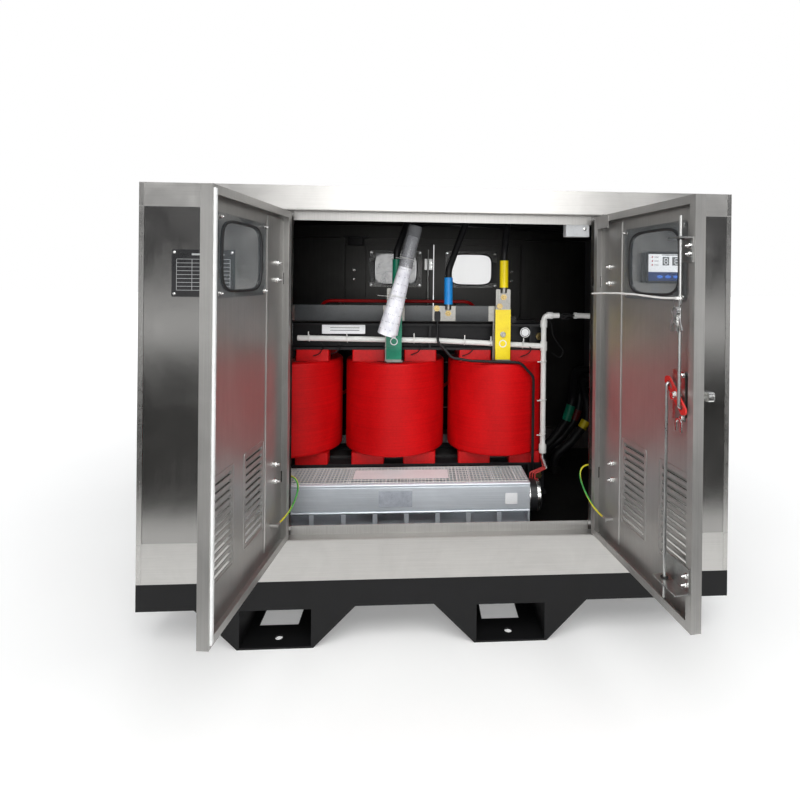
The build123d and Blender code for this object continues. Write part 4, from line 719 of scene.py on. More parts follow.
class TransformerLooks(PropertyGroup):
    steel_colour: FloatVectorProperty(
        name="Steel", description="Colour of the stainless sheet", subtype="COLOR", default=(0.56, 0.55, 0.53)
    )
    resin_colour: FloatVectorProperty(
        name="Resin", description="Colour of the cast resin", subtype="COLOR", default=(0.66, 0.004, 0.006)
    )
    floor_colour: FloatVectorProperty(
        name="Floor", description="Colour of the studio floor", subtype="COLOR", default=(0.86, 0.86, 0.85)
    )
    key_power: FloatProperty(
        name="Key light", description="Power of the light above", default=105.0, unit="POWER"
    )
    front_power: FloatProperty(
        name="Front light", description="Power of the light in front", default=48.0, unit="POWER"
    )
    wire_diameter: FloatProperty(
        name="Earth wire", description="Diameter of the door earth wires", default=0.005, unit="LENGTH"
    )


class StageOperator(Operator):
    """Sets up the pale floor, the soft lights and the camera at the photograph's viewing angle."""

    bl_idname = "transformer.stage"
    bl_label = "Stage"

    def execute(self, context):
        looks = context.scene.transformer_looks
        floor_mesh = bpy.data.meshes.new("studio_floor")
        reach = 30.0
        corners = [(-reach, -reach, 0), (reach, -reach, 0), (reach, reach, 0), (-reach, reach, 0)]
        floor_mesh.from_pydata(corners, [], [(0, 1, 2, 3)])
        floor = bpy.data.objects.new("studio_floor", floor_mesh)
        context.scene.collection.objects.link(floor)
        colour = tuple(looks.floor_colour)
        white = mottled("studio_floor", colour, tuple(0.96 * v for v in colour), (0.7, 0.85), 60.0, 2.0)
        away = white.node("ShaderNodeVectorMath", operation="LENGTH")
        white.join(white.place, away.inputs[0])
        white.shader.inputs["Emission Color"].default_value = (1.0, 1.0, 1.0, 1.0)
        glow = white.span(away.outputs["Value"], 1.2, 5.0, 0.22, 0.85)
        white.join(glow, white.shader.inputs["Emission Strength"])
        floor_mesh.materials.append(FINISHES["studio_floor"])
        self.dark_card(context)
        self.light(context, "key", (0.4, -2.9, 3.6), (0.1, -0.3, 0.6), (3.6, 2.2), looks.key_power)
        self.light(context, "front", (0.3, -4.4, 1.5), (0.1, 0.0, 0.6), (2.6, 1.6), looks.front_power)
        side = looks.front_power * 0.55
        self.light(context, "left", (-3.6, -2.4, 2.2), (-0.2, -0.2, 0.7), (2.0, 2.0), side)
        self.light(context, "rear", (0.6, 3.6, 3.0), (0.1, 0.2, 0.6), (3.0, 2.0), looks.front_power * 0.5)
        self.sky(context)
        self.camera(context)
        return {"FINISHED"}

    def dark_card(self, context):
        """A dark sheet on the floor before the enclosure, which only reflections see."""
        mesh = bpy.data.meshes.new("dark_card")
        half, far, near, lift = 5.0, -6.4, -1.35, 0.01
        corners = [(-half, far, lift), (half, far, lift), (half, near, lift), (-half, near, lift)]
        mesh.from_pydata(corners, [], [(0, 1, 2, 3)])
        card = bpy.data.objects.new("dark_card", mesh)
        context.scene.collection.objects.link(card)
        mottled("dark_card", (0.05, 0.048, 0.045), (0.03, 0.03, 0.03), (0.8, 0.9), 20.0, 1.0)
        mesh.materials.append(FINISHES["dark_card"])
        card.visible_camera = False
        card.visible_shadow = False
        card.visible_diffuse = False

    def light(self, context, name, place, target, size, power):
        """A soft rectangular lamp that looks from its place at the target."""
        data = bpy.data.lights.new(name, "AREA")
        data.shape = "RECTANGLE"
        data.size, data.size_y = size
        data.energy = power
        lamp = bpy.data.objects.new(name, data)
        direction = np.array(place) - np.array(target)
        direction /= np.linalg.norm(direction)
        side = np.cross(Z, direction)
        side /= np.linalg.norm(side)
        top = np.cross(direction, side)
        away = Matrix(np.column_stack((side, top, direction)).tolist()).to_4x4()
        lamp.matrix_world = Matrix.Translation(place) @ away
        context.scene.collection.objects.link(lamp)

    def sky(self, context):
        """Soft light that is brighter above, with a plain pale backdrop for the camera."""
        world = bpy.data.worlds.new("studio")
        context.scene.world = world
        world.use_nodes = True
        tree = world.node_tree
        back = tree.nodes["Background"]
        output = tree.nodes["World Output"]
        coordinates = tree.nodes.new("ShaderNodeTexCoord")
        split = tree.nodes.new("ShaderNodeSeparateXYZ")
        ramp = tree.nodes.new("ShaderNodeValToRGB")
        tree.links.new(coordinates.outputs["Generated"], split.inputs["Vector"])
        tree.links.new(split.outputs["Z"], ramp.inputs["Fac"])
        stops = ramp.color_ramp
        stops.elements[0].position, stops.elements[0].color = 0.0, (0.1, 0.1, 0.105, 1)
        stops.elements[1].position, stops.elements[1].color = 0.9, (0.75, 0.76, 0.78, 1)
        tree.links.new(ramp.outputs["Color"], back.inputs["Color"])
        back.inputs["Strength"].default_value = 0.8
        pale = tree.nodes.new("ShaderNodeBackground")
        pale.inputs["Color"].default_value = (1.0, 1.0, 1.0, 1)
        path = tree.nodes.new("ShaderNodeLightPath")
        mix = tree.nodes.new("ShaderNodeMixShader")
        tree.links.new(path.outputs["Is Camera Ray"], mix.inputs["Fac"])
        tree.links.new(back.outputs["Background"], mix.inputs[1])
        tree.links.new(pale.outputs["Background"], mix.inputs[2])
        tree.links.new(mix.outputs["Shader"], output.inputs["Surface"])

    def camera(self, context):
        """A wide lens, shifted as the photograph is cropped."""
        data = bpy.data.cameras.new("camera")
        data.lens = LENS
        data.sensor_width = SENSOR
        data.shift_x, data.shift_y = CAMERA_SHIFT
        camera = bpy.data.objects.new("camera", data)
        camera.matrix_world = Matrix.Translation(CAMERA_PLACE) @ Matrix(CAMERA_AXES).transposed().to_4x4()
        context.scene.collection.objects.link(camera)
        context.scene.camera = camera


class FinishOperator(Operator):
    """Gives every CAD node its finish."""

    bl_idname = "transformer.finishes"
    bl_label = "Finishes"

    def execute(self, context):
        make_finishes(context.scene.transformer_looks)
        for name, nodes in NODE_FINISH.items():
            for node in nodes:
                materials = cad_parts[node].data.materials
                materials.clear()
                materials.append(FINISHES[name])
        far = 1e4
        # Faces inside the enclosure on the rear panels, side panels, rear doors and roof take the dark steel:
        # painted shade.
        low, high = (LEFT + 3.0, FRONT + 1.5, -far), (RIGHT - 3.0, REAR - 0.5, ROOF_TOP - 1.0)
        inside = (("steel_painted_shade", low, high),)
        for node, outside in (
            ("rear_panels", "steel_panel"),
            ("side_panels", "steel_panel"),
            ("rear_door_left", "door_steel"),
            ("rear_door_right", "door_steel"),
            ("roof", "steel_band"),
        ):
            paint_by_place(node, inside, outside)
        # The rear half of the doorway rests also takes the dark steel: painted shade.
        paint_by_place("doorway_rests", (("steel_painted_shade", (-far, 0.0, -far), (far, far, far)),), "door_steel")
        paint_by_place(
            "phase_sleeves",
            (
                ("sleeve_red", (-420, -far, 700), (-330, -200, far)),
                ("sleeve_green", (-60, -far, 700), (20, -200, far)),
                ("sleeve_blue", (135, -far, 700), (175, -200, far)),
                ("sleeve_yellow", (300, -far, 700), (380, -200, far)),
                ("sleeve_green", (670, 0, 0), (745, 275, 600)),
                ("sleeve_yellow", (746, 0, 0), (900, 270, 600)),
                ("sleeve_dark_red", (700, 275, 0), (900, 400, 600)),
            ),
            "sleeve_grey",
        )
        paint_by_place(
            "sensor_leads",
            (
                ("lead_red", (-far, -far, -far), (479.0, far, 440)),
                ("lead_white", (479.0, -far, -far), (484.0, far, 440)),
            ),
            "cable_jacket",
        )
        return {"FINISHED"}


class EarthWireOperator(Operator):
    """Lays the green and yellow earth wires between the front doors and the panels beside them."""

    bl_idname = "transformer.earth_wires"
    bl_label = "Earth wires"

    def execute(self, context):
        diameter = context.scene.transformer_looks.wire_diameter
        left = (
            (-299.23, -619.93, 377), (-297.45, -603.02, 377), (-291, -586, 380), (-284, -569, 387),
            (-279, -553, 398), (-275, -537, 411), (-273, -521, 427), (-278, -507, 441),
            (-290, -498, 451), (-306, -495, 455), (-324, -496, 453), (-339, -503, 450),
            (-346, -518, 448), (-346, -533, 448),
        )
        right = (
            (561.68, -620.4, 377), (559.31, -603.57, 377), (554, -588, 382), (548, -573, 390),
            (542, -558, 402), (536, -543, 416), (531, -529, 433), (529, -516, 450),
            (534, -505, 465), (547, -498, 474), (563, -496, 477), (580, -497, 475),
            (594, -504, 471), (600, -518, 469), (600, -533, 469),
        )
        for side, route, length in (("left", left, 0.2383), ("right", right, 0.252)):
            line = self.centre_line(context, route)
            wire = self.tube(f"earth_wire_{side}_jacket", line, diameter / 2)
            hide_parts(f"earth_wire_{side}")
            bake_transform(wire)
        return {"FINISHED"}

    def centre_line(self, context, route):
        """Points along a smooth spline with the route's points as its control points."""
        data = bpy.data.curves.new("route", "CURVE")
        data.dimensions = "3D"
        data.resolution_u = 8
        spline = data.splines.new("NURBS")
        spline.points.add(len(route) - 1)
        for point, place in zip(spline.points, route):
            point.co = (*(value * MM for value in place), 1.0)
        spline.order_u = 3
        spline.use_endpoint_u = True
        holder = bpy.data.objects.new("route", data)
        context.scene.collection.objects.link(holder)
        context.view_layer.update()
        mesh = bpy.data.meshes.new_from_object(holder)
        line = np.zeros(len(mesh.vertices) * 3)
        mesh.vertices.foreach_get("co", line)
        line = line.reshape(-1, 3)
        bpy.data.objects.remove(holder)
        bpy.data.meshes.remove(mesh)
        return line

    def tube(self, name, line, radius):
        """A round section carried along the line, with a map of turn and length."""
        sides = 12
        rings = carried(line / MM, circle(radius / MM, sides), self.steady_up(line))
        wire = Shape().add(rings).make(name, None, "earth_stripe")
        step = np.linalg.norm(np.diff(line, axis=0), axis=1)
        along = np.concatenate(((0.0,), np.cumsum(step)))
        mesh = wire.data
        index = np.zeros(len(mesh.loops), int)
        mesh.loops.foreach_get("vertex_index", index)
        around = (index % sides) / sides
        uv = np.stack((around, along[np.minimum(index // sides, len(along) - 1)]), -1)
        layer = mesh.uv_layers.new(name="length")
        layer.data.foreach_set("uv", uv.ravel())
        return wire

    def steady_up(self, line):
        """A direction that no stretch of the line runs along."""
        spread = line - line.mean(0)
        return np.linalg.svd(spread)[2][2]


class DoorTrimOperator(Operator):
    """Adds window seals, pane screws, hinge strips with bolts, louvre rims, black plates behind the rear
    louvres as painted shade, and an edge seal.
    """

    bl_idname = "transformer.door_trim"
    bl_label = "Door trim"

    def execute(self, context):
        for leaf in LEAVES:
            self.window(leaf)
            self.hinge_side(leaf)
            self.louvre_rims(leaf)
        self.edge_seal("front_left")
        return {"FINISHED"}

    def window(self, leaf):
        body = LEAVES[leaf][3]
        seal = Shape()
        lip = hoop(at_height(bowed_window(-0.5), -0.4), 3.0, 2.6, 10)
        for outside, depth in ((False, SHEET + PANE_THICKNESS), (True, 0.0)):
            seal.add(lip, on_leaf(leaf, WINDOW_S, WINDOW_Z, depth, outside), closed=True)
        seal.make(f"{leaf}_window_seal", body, "rubber")
        screws = Shape()
        for ds in PANE_SCREW_S:
            for dz in PANE_SCREW_Z:
                place = on_leaf(leaf, WINDOW_S + ds, WINDOW_Z + dz, SHEET + PANE_THICKNESS)
                add_bolt(screws, place, 8.0, 4.0, 1.2, 5.0)
        screws.make(f"{leaf}_pane_screws", body, "bright_zinc")

    def hinge_side(self, leaf):
        body = LEAVES[leaf][3]
        height = LEAF_TOP - LEAF_BOTTOM - 2 * HINGE_STRIP_MARGIN
        levels = ((0.0, -0.3), (0.0, 0.6), (1.6, 2.2), (1.8, 2.4))
        place = on_leaf(leaf, HINGE_STRIP_S, LEAF_MIDDLE)
        strip = Shape().add(stepped_box(HINGE_STRIP_WIDTH, height, 3.0, levels), place)
        # The rear leaves' strips face the interior and take the dark steel: painted shade.
        strip.make(f"{leaf}_hinge_strip", body, "door_steel" if leaf.startswith("front") else "steel_painted_shade")
        bolts = Shape()
        places = {"front_left": (62.0, 62.0), "front_right": (63.0, 85.0)}.get(leaf, (64.0, 64.0))
        for s, levels in zip(places, ((1054.0, 1010.0), (528.0, 484.0))):
            for level in levels:
                add_bolt(bolts, on_leaf(leaf, s, level, 4.4), 11.0, 6.0, 1.8, 8.0)
        bolts.make(f"{leaf}_hinge_bolts", body, "bright_zinc")

    def louvre_rims(self, leaf):
        body = LEAVES[leaf][3]
        rim = hoop(at_height(rounded_box(LOUVRE_WIDTH, LOUVRE_HEIGHT, 6.0), 0.3), 2.2, 1.4)
        screen = plate(LOUVRE_WIDTH - 6.0, LOUVRE_HEIGHT - 6.0, 0.8, 3.0, 0.2, 0.3)
        rims, shade_plates = Shape(), Shape()
        for s in LOUVRE_S:
            place = on_leaf(leaf, s, LOUVRE_Z)
            rims.add(rim, place, closed=True)
            shade_plates.add(screen, place)
        rims.make(f"{leaf}_louvre_rims", body, "door_steel")
        # Black plates behind the rear louvres only: a dark sheet as painted shade for the dark interior.
        if leaf.startswith("rear"):
            shade_plates.make(f"{leaf}_louvre_shade_plates", body, "black_plastic")

    def edge_seal(self, leaf):
        """White foam strip along the free edge's lip, with a rounded back."""
        height = LEAF_TOP - LEAF_BOTTOM - 14.0
        place = on_leaf(leaf, 433.0, LEAF_MIDDLE, LEAF_DEPTH)
        levels = ((0.0, -0.2), (0.0, 2.0), (0.8, 3.4), (2.2, 4.2))
        seal = Shape().add(stepped_box(10.0, height, 2.5, levels), place)
        seal.make(f"{leaf}_edge_seal", LEAVES[leaf][3], "foam_seal")


class LockDetailOperator(Operator):
    """Adds the locks' screws, rod bushes and keepers, the front handle's grip and the tie on the keys."""

    bl_idname = "transformer.lock_details"
    bl_label = "Lock details"

    def execute(self, context):
        for leaf in ("front_right", "rear_right"):
            self.lock(leaf)
        self.key_tie()
        return {"FINISHED"}

    def lock(self, leaf):
        body = LEAVES[leaf][3]
        screws = Shape()
        for level in (1091.0, 1074.0, 401.0, 419.0):
            add_bolt(screws, on_leaf(leaf, 432.0, level, LOCK_SCREW_DEPTH), 9.0, 5.0, 1.4, 7.0)
        for level in (736.0, 824.0):
            add_bolt(screws, on_leaf(leaf, 412.0, level, LOCK_SCREW_DEPTH), 8.0, 4.0, 1.2)
        screws.make(f"{leaf}_lock_screws", body, "bright_zinc")
        if leaf.startswith("front"):
            place = on_leaf(leaf, 413.0, 780.0, 0.0, True)
            size = (34.0, 20.0, 15.0, 5.0, 2.0, 21.0)
            add_plate("front_handle_grip", "bright_zinc", place, *size, body="front_lock")
        bush = turned(mirrored(((3.95, -3.4), (8.0, -3.4), (8.0, -1.7), (5.4, -1.6))), 24)
        bushes = Shape()
        for s, level in ((LOWER_ROD_S, LOWER_GUIDE_Z), (UPPER_ROD_S, UPPER_GUIDE_Z)):
            bushes.add(bush, Place(on_leaf(leaf, s, level, ROD_Y).origin), closed=True)
        bushes.make(f"{leaf}_rod_bushes", body, "rubber")
        keeper = Shape()
        t = np.linspace(0, math.pi, 14)
        hinge, along, inward, _ = LEAVES[leaf]
        centre = hinge + along * 404.0 + inward * 31.0
        legs = [centre + along * (9.0 * math.cos(a)) + Z * (722.0 + 9.0 * math.sin(a)) for a in t]
        path = [legs[0] - Z * 16.0, legs[0] - Z * 8.0, *legs, legs[-1] - Z * 8.0, legs[-1] - Z * 16.0]
        keeper.add(carried(path, circle(1.0, 8) * (3.6, 1.5), inward))
        keeper.make(f"{leaf}_keeper", body, "bright_zinc")

    def key_tie(self):
        """A cable tie whose long tail runs nearly level from the rod towards the hinge."""
        hinge, along, inward, _ = LEAVES["front_right"]
        start = hinge + along * UPPER_ROD_S + inward * (ROD_Y + 5.2) + Z * 984.0
        points = [
            start,
            start - along * 60.0 + inward * 3.0 - Z * 1.0,
            start - along * 170.0 + inward * 5.0 + Z * 3.0,
            start - along * 290.0 + inward * 4.0 + Z * 2.0,
            start - along * 372.0 + inward * 6.0 - Z * 2.0,
        ]
        tie = Shape().add(strap(points, 40, 0.8, 2.2, 8))
        head = Place(start + inward * 1.0, along, Z, inward)
        tie.add(plate(8.0, 6.0, 4.5, 1.0, 0.5, -1.0), head)
        tie.make("key_tie", "front_rod_upper", "white_tie")


class RatingPlateOperator(Operator):
    """Adds the bare black rating plate with its ruled table and rivets."""

    bl_idname = "transformer.rating_plate"
    bl_label = "Rating plate"

    def execute(self, context):
        x, z, width, height = -524.5, 1026.0, 167.0, 128.0
        add_plate("rating_plate", "plate_black", facing_front(x, z, FRONT), width, height, 1.4, 4.0, 0.4)
        rules = Shape()
        for level in np.linspace(38.0, -46.0, 9):
            rules.add(plate(width - 26.0, 1.1, 0.25, 0.3, 0.1), facing_front(x, z + level, FRONT - 1.35))
        for place in (-70.5, -30.0, 22.0, 70.5):
            rules.add(plate(1.1, 84.0, 0.25, 0.3, 0.1), facing_front(x + place, z - 4.0, FRONT - 1.35))
        rules.add(plate(86.0, 5.0, 0.25, 1.0, 0.1), facing_front(x + 12.0, z + 51.0, FRONT - 1.35))
        rules.make("rating_plate_rules", "enclosure", "plate_line")
        rivets = Shape()
        for dx in (-76.0, 76.0):
            for dz in (-56.0, 56.0):
                rivets.add(screw_dome(4.0, 2.4), facing_front(x + dx, z + dz, FRONT - 1.3))
        rivets.make("rating_plate_rivets", "enclosure", "bright_zinc")
        return {"FINISHED"}


class ControllerFaceOperator(Operator):
    """Adds the controller's bezel, display windows with digits, lamps and membrane keys."""

    bl_idname = "transformer.controller_face"
    bl_label = "Controller face"

    def execute(self, context):
        def spot(u, v, lift=0.0):
            return facing_front(CONTROLLER_LEFT + u, CONTROLLER_BOTTOM + v, CONTROLLER_FACE - lift)

        ring = hoop(at_height(rounded_box(156.0, 84.0, 5.0), 0.4), 3.4, 2.2, 10)
        bezel = Shape().add(ring, spot(80.0, 44.0), closed=True)
        bezel.make("controller_bezel", "enclosure", "black_plastic")
        add_plate("controller_white_face", "face_white", spot(80.0, 55.5), 150.0, 50.0, 1.2, 1.5, 0.4)
        add_plate("controller_blue_band", "band_blue", spot(80.0, 18.0), 150.0, 24.0, 1.2, 1.5, 0.4)
        keys = Shape()
        for u in (38.0, 61.5, 85.0, 108.5):
            outline = circle(1.0, 28) * (8.6, 4.2)
            levels = ((1.0, 1.0), (1.0, 1.9), (0.86, 2.3))
            keys.add(np.stack([at_height(outline * k, h) for k, h in levels]), spot(u, 17.0))
        keys.make("controller_keys", "enclosure", "key_blue")
        windows = Shape()
        windows.add(plate(19.0, 24.0, 1.5, 1.0, 0.3), spot(55.0, 61.0))
        windows.add(plate(62.0, 24.0, 1.5, 1.0, 0.3), spot(104.0, 61.0))
        windows.make("controller_windows", "enclosure", "screen_dark")
        digits = Shape()
        for u in (55.0, 86.0, 104.0, 122.0):
            self.digit(digits, spot, u, 61.0)
        digits.make("controller_digits", "enclosure", "face_white")
        lamps = Shape()
        marks = Shape()
        for v in (50.0, 61.0, 72.0):
            lamps.add(screw_dome(2.2, 1.6), spot(16.0, v, 1.1))
            marks.add(plate(12.0, 1.6, 0.2, 0.3, 0.1), spot(28.0, v, 1.15))
        marks.add(plate(88.0, 2.0, 0.2, 0.3, 0.1), spot(88.0, 78.0, 1.15))
        lamps.make("controller_lamps", "enclosure", "led_red")
        marks.make("controller_marks", "enclosure", "segment")
        return {"FINISHED"}

    def digit(self, shape, spot, u, v):
        """Seven bars of one figure eight."""
        for du, dv, wide, high in (
            (0, 8, 8, 1.7), (0, 0, 8, 1.7), (0, -8, 8, 1.7),
            (-5, 4, 1.7, 6), (5, 4, 1.7, 6), (-5, -4, 1.7, 6), (5, -4, 1.7, 6),
        ):
            shape.add(plate(wide, high, 0.3, 0.5, 0.1), spot(u + du, v + dv, 1.45))


class FanTrimOperator(Operator):
    """Adds the mesh, rolled lips, faces, bare labels and motor straps of the cooling fans."""

    bl_idname = "transformer.fan_trim"
    bl_label = "Fan trim"

    def execute(self, context):
        middle = (FAN_LEFT + FAN_RIGHT) / 2
        length = FAN_RIGHT - FAN_LEFT
        for name, sign in (("front", -1), ("rear", 1)):
            axis_y = FAN_AXIS_Y[name]
            mesh = Shape()
            self.strands(mesh, axis_y - 64.0, axis_y + 64.0, FAN_TOP + 1.0)
            mesh.make(f"{name}_fan_mesh", "enclosure", "white_pvc")
            lips = Shape()
            face = axis_y + sign * FAN_HALF_DEPTH
            for z, radius in ((381.0, 3.6), (298.5, 3.2)):
                line = [(x, face, z) for x in np.linspace(FAN_LEFT + 1, FAN_RIGHT - 1, 3)]
                lips.add(carried(line, circle(radius, 12), Z))
            lips.make(f"{name}_fan_lips", "enclosure", "fan_silver")
            place = Place((middle, face, 339.5), X if sign < 0 else -X, Z, sign * Y)
            add_plate(f"{name}_fan_face", "fan_silver", place, length - 6.0, 70.0, 1.6, 2.0, 0.6)
            straps = Shape()
            for x, wide in ((FAN_RIGHT + 36.0, 5.0), (FAN_RIGHT + 6.0, 2.5)):
                rings = flat_ring(MOTOR_RADIUS, MOTOR_RADIUS + 1.4, x - wide, x + wide, 48)
                straps.add(rings, Place((0.0, axis_y, FAN_AXIS_Z), Y, Z, X), closed=True)
            straps.make(f"{name}_motor_straps", "enclosure", "bright_zinc")
        self.labels()
        return {"FINISHED"}

    def strands(self, shape, y0, y1, z):
        """Round wires along x and along y, at a pitch of 11 mm across the frame."""
        section = circle(1.15, 6)
        for x in np.arange(FAN_LEFT + 9.0, FAN_RIGHT - 4.0, 11.0):
            shape.add(carried([(x, y0, z), (x, y1, z)], section, Z))
        for y in np.linspace(y0, y1, 8):
            shape.add(carried([(FAN_LEFT + 4.0, y, z + 1.2), (FAN_RIGHT - 4.0, y, z + 1.2)], section, Z))

    def labels(self):
        """Bare plates where the photograph shows printed labels."""
        front = FAN_FACE - 1.5
        for name, finish_name, x, z, wide, high in (
            ("fan_grey_plate", "silver_label", -7.0, 340.0, 102.0, 50.0),
            ("fan_white_label", "white_label", -337.0, 340.0, 26.0, 58.0),
            ("fan_small_label", "white_label", 352.0, 336.0, 38.0, 34.0),
        ):
            add_plate(name, finish_name, facing_front(x, z, front), wide, high, 0.5, 1.5, 0.15)
        place = facing_up(8.0, -316.0, FAN_TOP + 3.2)
        add_plate("fan_top_strip", "white_label", place, 300.0, 76.0, 0.6, 1.5, 0.2)


class TerminalOperator(Operator):
    """Adds sleeves, washers, phase rings and labels at the low voltage terminals."""

    bl_idname = "transformer.terminals"
    bl_label = "Terminals"

    def execute(self, context):
        self.neutral_sleeves()
        self.bar_wraps()
        self.phase_rings()
        self.clamp_labels()
        self.cable_ends()
        return {"FINISHED"}

    def neutral_sleeves(self):
        """Dark sleeves that leave the neutral bar bare at its ends and joints."""
        sleeves = Shape()
        for x0, x1 in ((-343.0, -58.0), (12.0, 104.0), (180.0, 290.0)):
            place = Place(((x0 + x1) / 2, NEUTRAL_FACE + 3.0, NEUTRAL_Z), Y, Z, X)
            half = (x1 - x0) / 2
            levels = mirrored(((0.6, -half), (0.0, -half + 0.8)))
            sleeves.add(stepped_box(8.0, 52.4, 1.6, levels), place)
        sleeves.make("neutral_sleeves", "enclosure", "sleeve_grey")

    def bar_wraps(self):
        """Coloured wraps over the lower part of each bar, down to its foot."""
        for name, x in zip(("red", "green", "yellow"), COILS):
            levels = ((0.6, 753.0), (0.0, 754.0), (0.0, 791.6), (0.4, 792.0))
            wrap = Shape().add(stepped_box(50.0, 8.0, 1.6, levels), facing_up(x, BAR_FACE + 3.0, 0.0))
            wrap.make(f"bar_wrap_{name}", "enclosure", f"sleeve_{name}")

    def phase_rings(self):
        """Plain printed rings on the bars' sleeves."""
        rings = Shape()
        for x, z in ((-378.0, 838.0), (-378.0, 808.0), (-21.0, 812.0), (336.0, 806.0)):
            rings.add(flat_ring(9.4, 12.4, 0.0, 0.35), facing_front(x, z, BAR_FACE - 1.25), closed=True)
        rings.make("phase_rings", "enclosure", "face_white")
        bolts = Shape()
        for x in (-378.0, 336.0):
            add_bolt(bolts, facing_front(x, 836.0, BAR_FACE - 1.2), 15.0, 6.0, 2.0, 4.0)
        bolts.make("bar_joint_bolts", "enclosure", "zinc")

    def clamp_labels(self):
        place = facing_front(-190.0, 846.0, CLAMP_FACE - 0.2)
        add_plate("clamp_label", "white_label", place, 142.0, 30.0, 0.6, 2.0, 0.2)
        rules = Shape()
        for z in (851.0, 843.0):
            rules.add(plate(96.0, 2.0, 0.15, 0.4, 0.05), facing_front(-186.0, z, CLAMP_FACE - 0.75))
        rules.make("clamp_label_rules", "enclosure", "segment")
        place = facing_front(420.0, 838.0, CLAMP_FACE - 0.2)
        disc = Shape().add(turned(((17.0, 0.0), (17.0, 0.5), (16.6, 0.7)), 36), place)
        disc.make("earth_mark", "enclosure", "white_label")
        ring = Shape().add(flat_ring(12.6, 14.6, 0.6, 0.95, 36), place, closed=True)
        ring.make("earth_mark_ring", "enclosure", "segment")

    def cable_ends(self):
        """Washers and bolt ends on the palms of the lugs."""
        bolts = Shape()
        for x, z, y in (
            (-378.0, 959.0, BAR_FACE - 12.0),
            (-14.0, 959.0, BAR_FACE - 12.0),
            (336.0, 959.0, BAR_FACE - 12.0),
            (155.0, 904.0, NEUTRAL_FACE - 15.0),
        ):
            bolts.add(turned(((4.6, -0.5), (4.6, 4.0), (3.8, 4.8)), 20), facing_front(x, z, y))
        bolts.make("lug_bolt_ends", "enclosure", "brass")


class ConduitOperator(Operator):
    """Adds the conduit's couplers, its ties and the thin leads."""

    bl_idname = "transformer.conduit"
    bl_label = "Conduit"

    def execute(self, context):
        couplers = Shape()

        def collar(origin, out, half, radius=11.6):
            side = np.cross(out, Y) if abs(out @ Y) < 0.9 else X
            side = side / np.linalg.norm(side)
            up = np.cross(out, side)
            profile = mirrored(((CONDUIT_RADIUS - 0.4, -half), (radius - 0.5, -half), (radius, -half + 0.8)))
            couplers.add(turned(profile, 28), Place(origin, side, up, out), closed=True)

        collar((RISER_X, CONDUIT_Y, 868.0), Z, 12.0)
        collar((502.0, CONDUIT_Y, ELBOW_Z), X, 10.0)
        collar((RISER_X, CONDUIT_Y, 446.0), Z, 14.0, 12.4)
        collar((RISER_X, CONDUIT_Y, 793.0), Z, 15.0)
        collar((590.0, CONDUIT_Y, ELBOW_Z), X, 5.0, 10.6)
        couplers.make("conduit_couplers", "enclosure", "white_pvc")
        ties = Shape()
        for x, z in (
            (-300.0, 817.2), (-176.0, 814.6), (44.0, 812.2),
            (212.0, 806.8), (300.0, 802.6), (410.0, 797.0),
        ):
            self.tie(ties, (x, CONDUIT_Y, z), X)
        for z in (742.0, 612.0, 496.0):
            self.tie(ties, (RISER_X, CONDUIT_Y, z), Z)
        ties.make("conduit_ties", "enclosure", "white_tie")
        self.thin_leads()
        return {"FINISHED"}

    def tie(self, shape, place, out):
        """A flat band round the conduit with its head and a short tail."""
        place = np.array(place)
        side = np.cross(out, Y)
        band = loop_path(place, 10.0, 10.0, side, -Y, 28)
        shape.add(hoop(band, 2.2, 0.9, 6, out), closed=True)
        head = Place(place - Y * 11.0 + side * 2.0, out, side, -Y)
        shape.add(plate(5.0, 6.0, 4.0, 1.0, 0.5, -1.0), head)
        tail = [place - Y * 12.5 + side * 3.0, place - Y * 17.0 + side * 12.0, place - Y * 16.0 + side * 24.0]
        shape.add(strap(tail, 8, 0.7, 1.8, 6, out))

    def thin_leads(self):
        grey = Shape()
        y = CONDUIT_Y - 6.0
        loop = ((500, 880), (508, 862), (512, 832), (532, 800), (548, 778), (536, 756), (510, 770))
        points = [(x, y, z) for x, z in loop]
        grey.add(thin_wire(points, 1.3, 48, Y))
        for rise in (-3.0, 0.0, 3.0):
            across = [
                (532, y, ELBOW_Z + rise),
                (548, y - 4, ELBOW_Z - 5 + 2 * rise),
                (568, y - 6, ELBOW_Z + 2 - rise),
                (588, y, ELBOW_Z + rise),
            ]
            grey.add(thin_wire(across, 1.5, 24, Y))
        grey.make("loop_lead", "enclosure", "cable_jacket")
        leads = Shape()
        for x, drop in ((-262.0, 50.0), (-205.0, 44.0), (60.0, 46.0), (232.0, 40.0), (430.0, 42.0)):
            z = 812.0 if x < 120 else 802.0
            points = [
                (x, y, z - 8),
                (x + 8, y - 2, z - 20),
                (x - 4, y + 4, z - drop + 6),
                (x - 26, y + 10, z - drop - 4),
            ]
            leads.add(thin_wire(points, 1.7, 24, Y))
        leads.make("coil_sensor_leads", "enclosure", "cable_jacket")


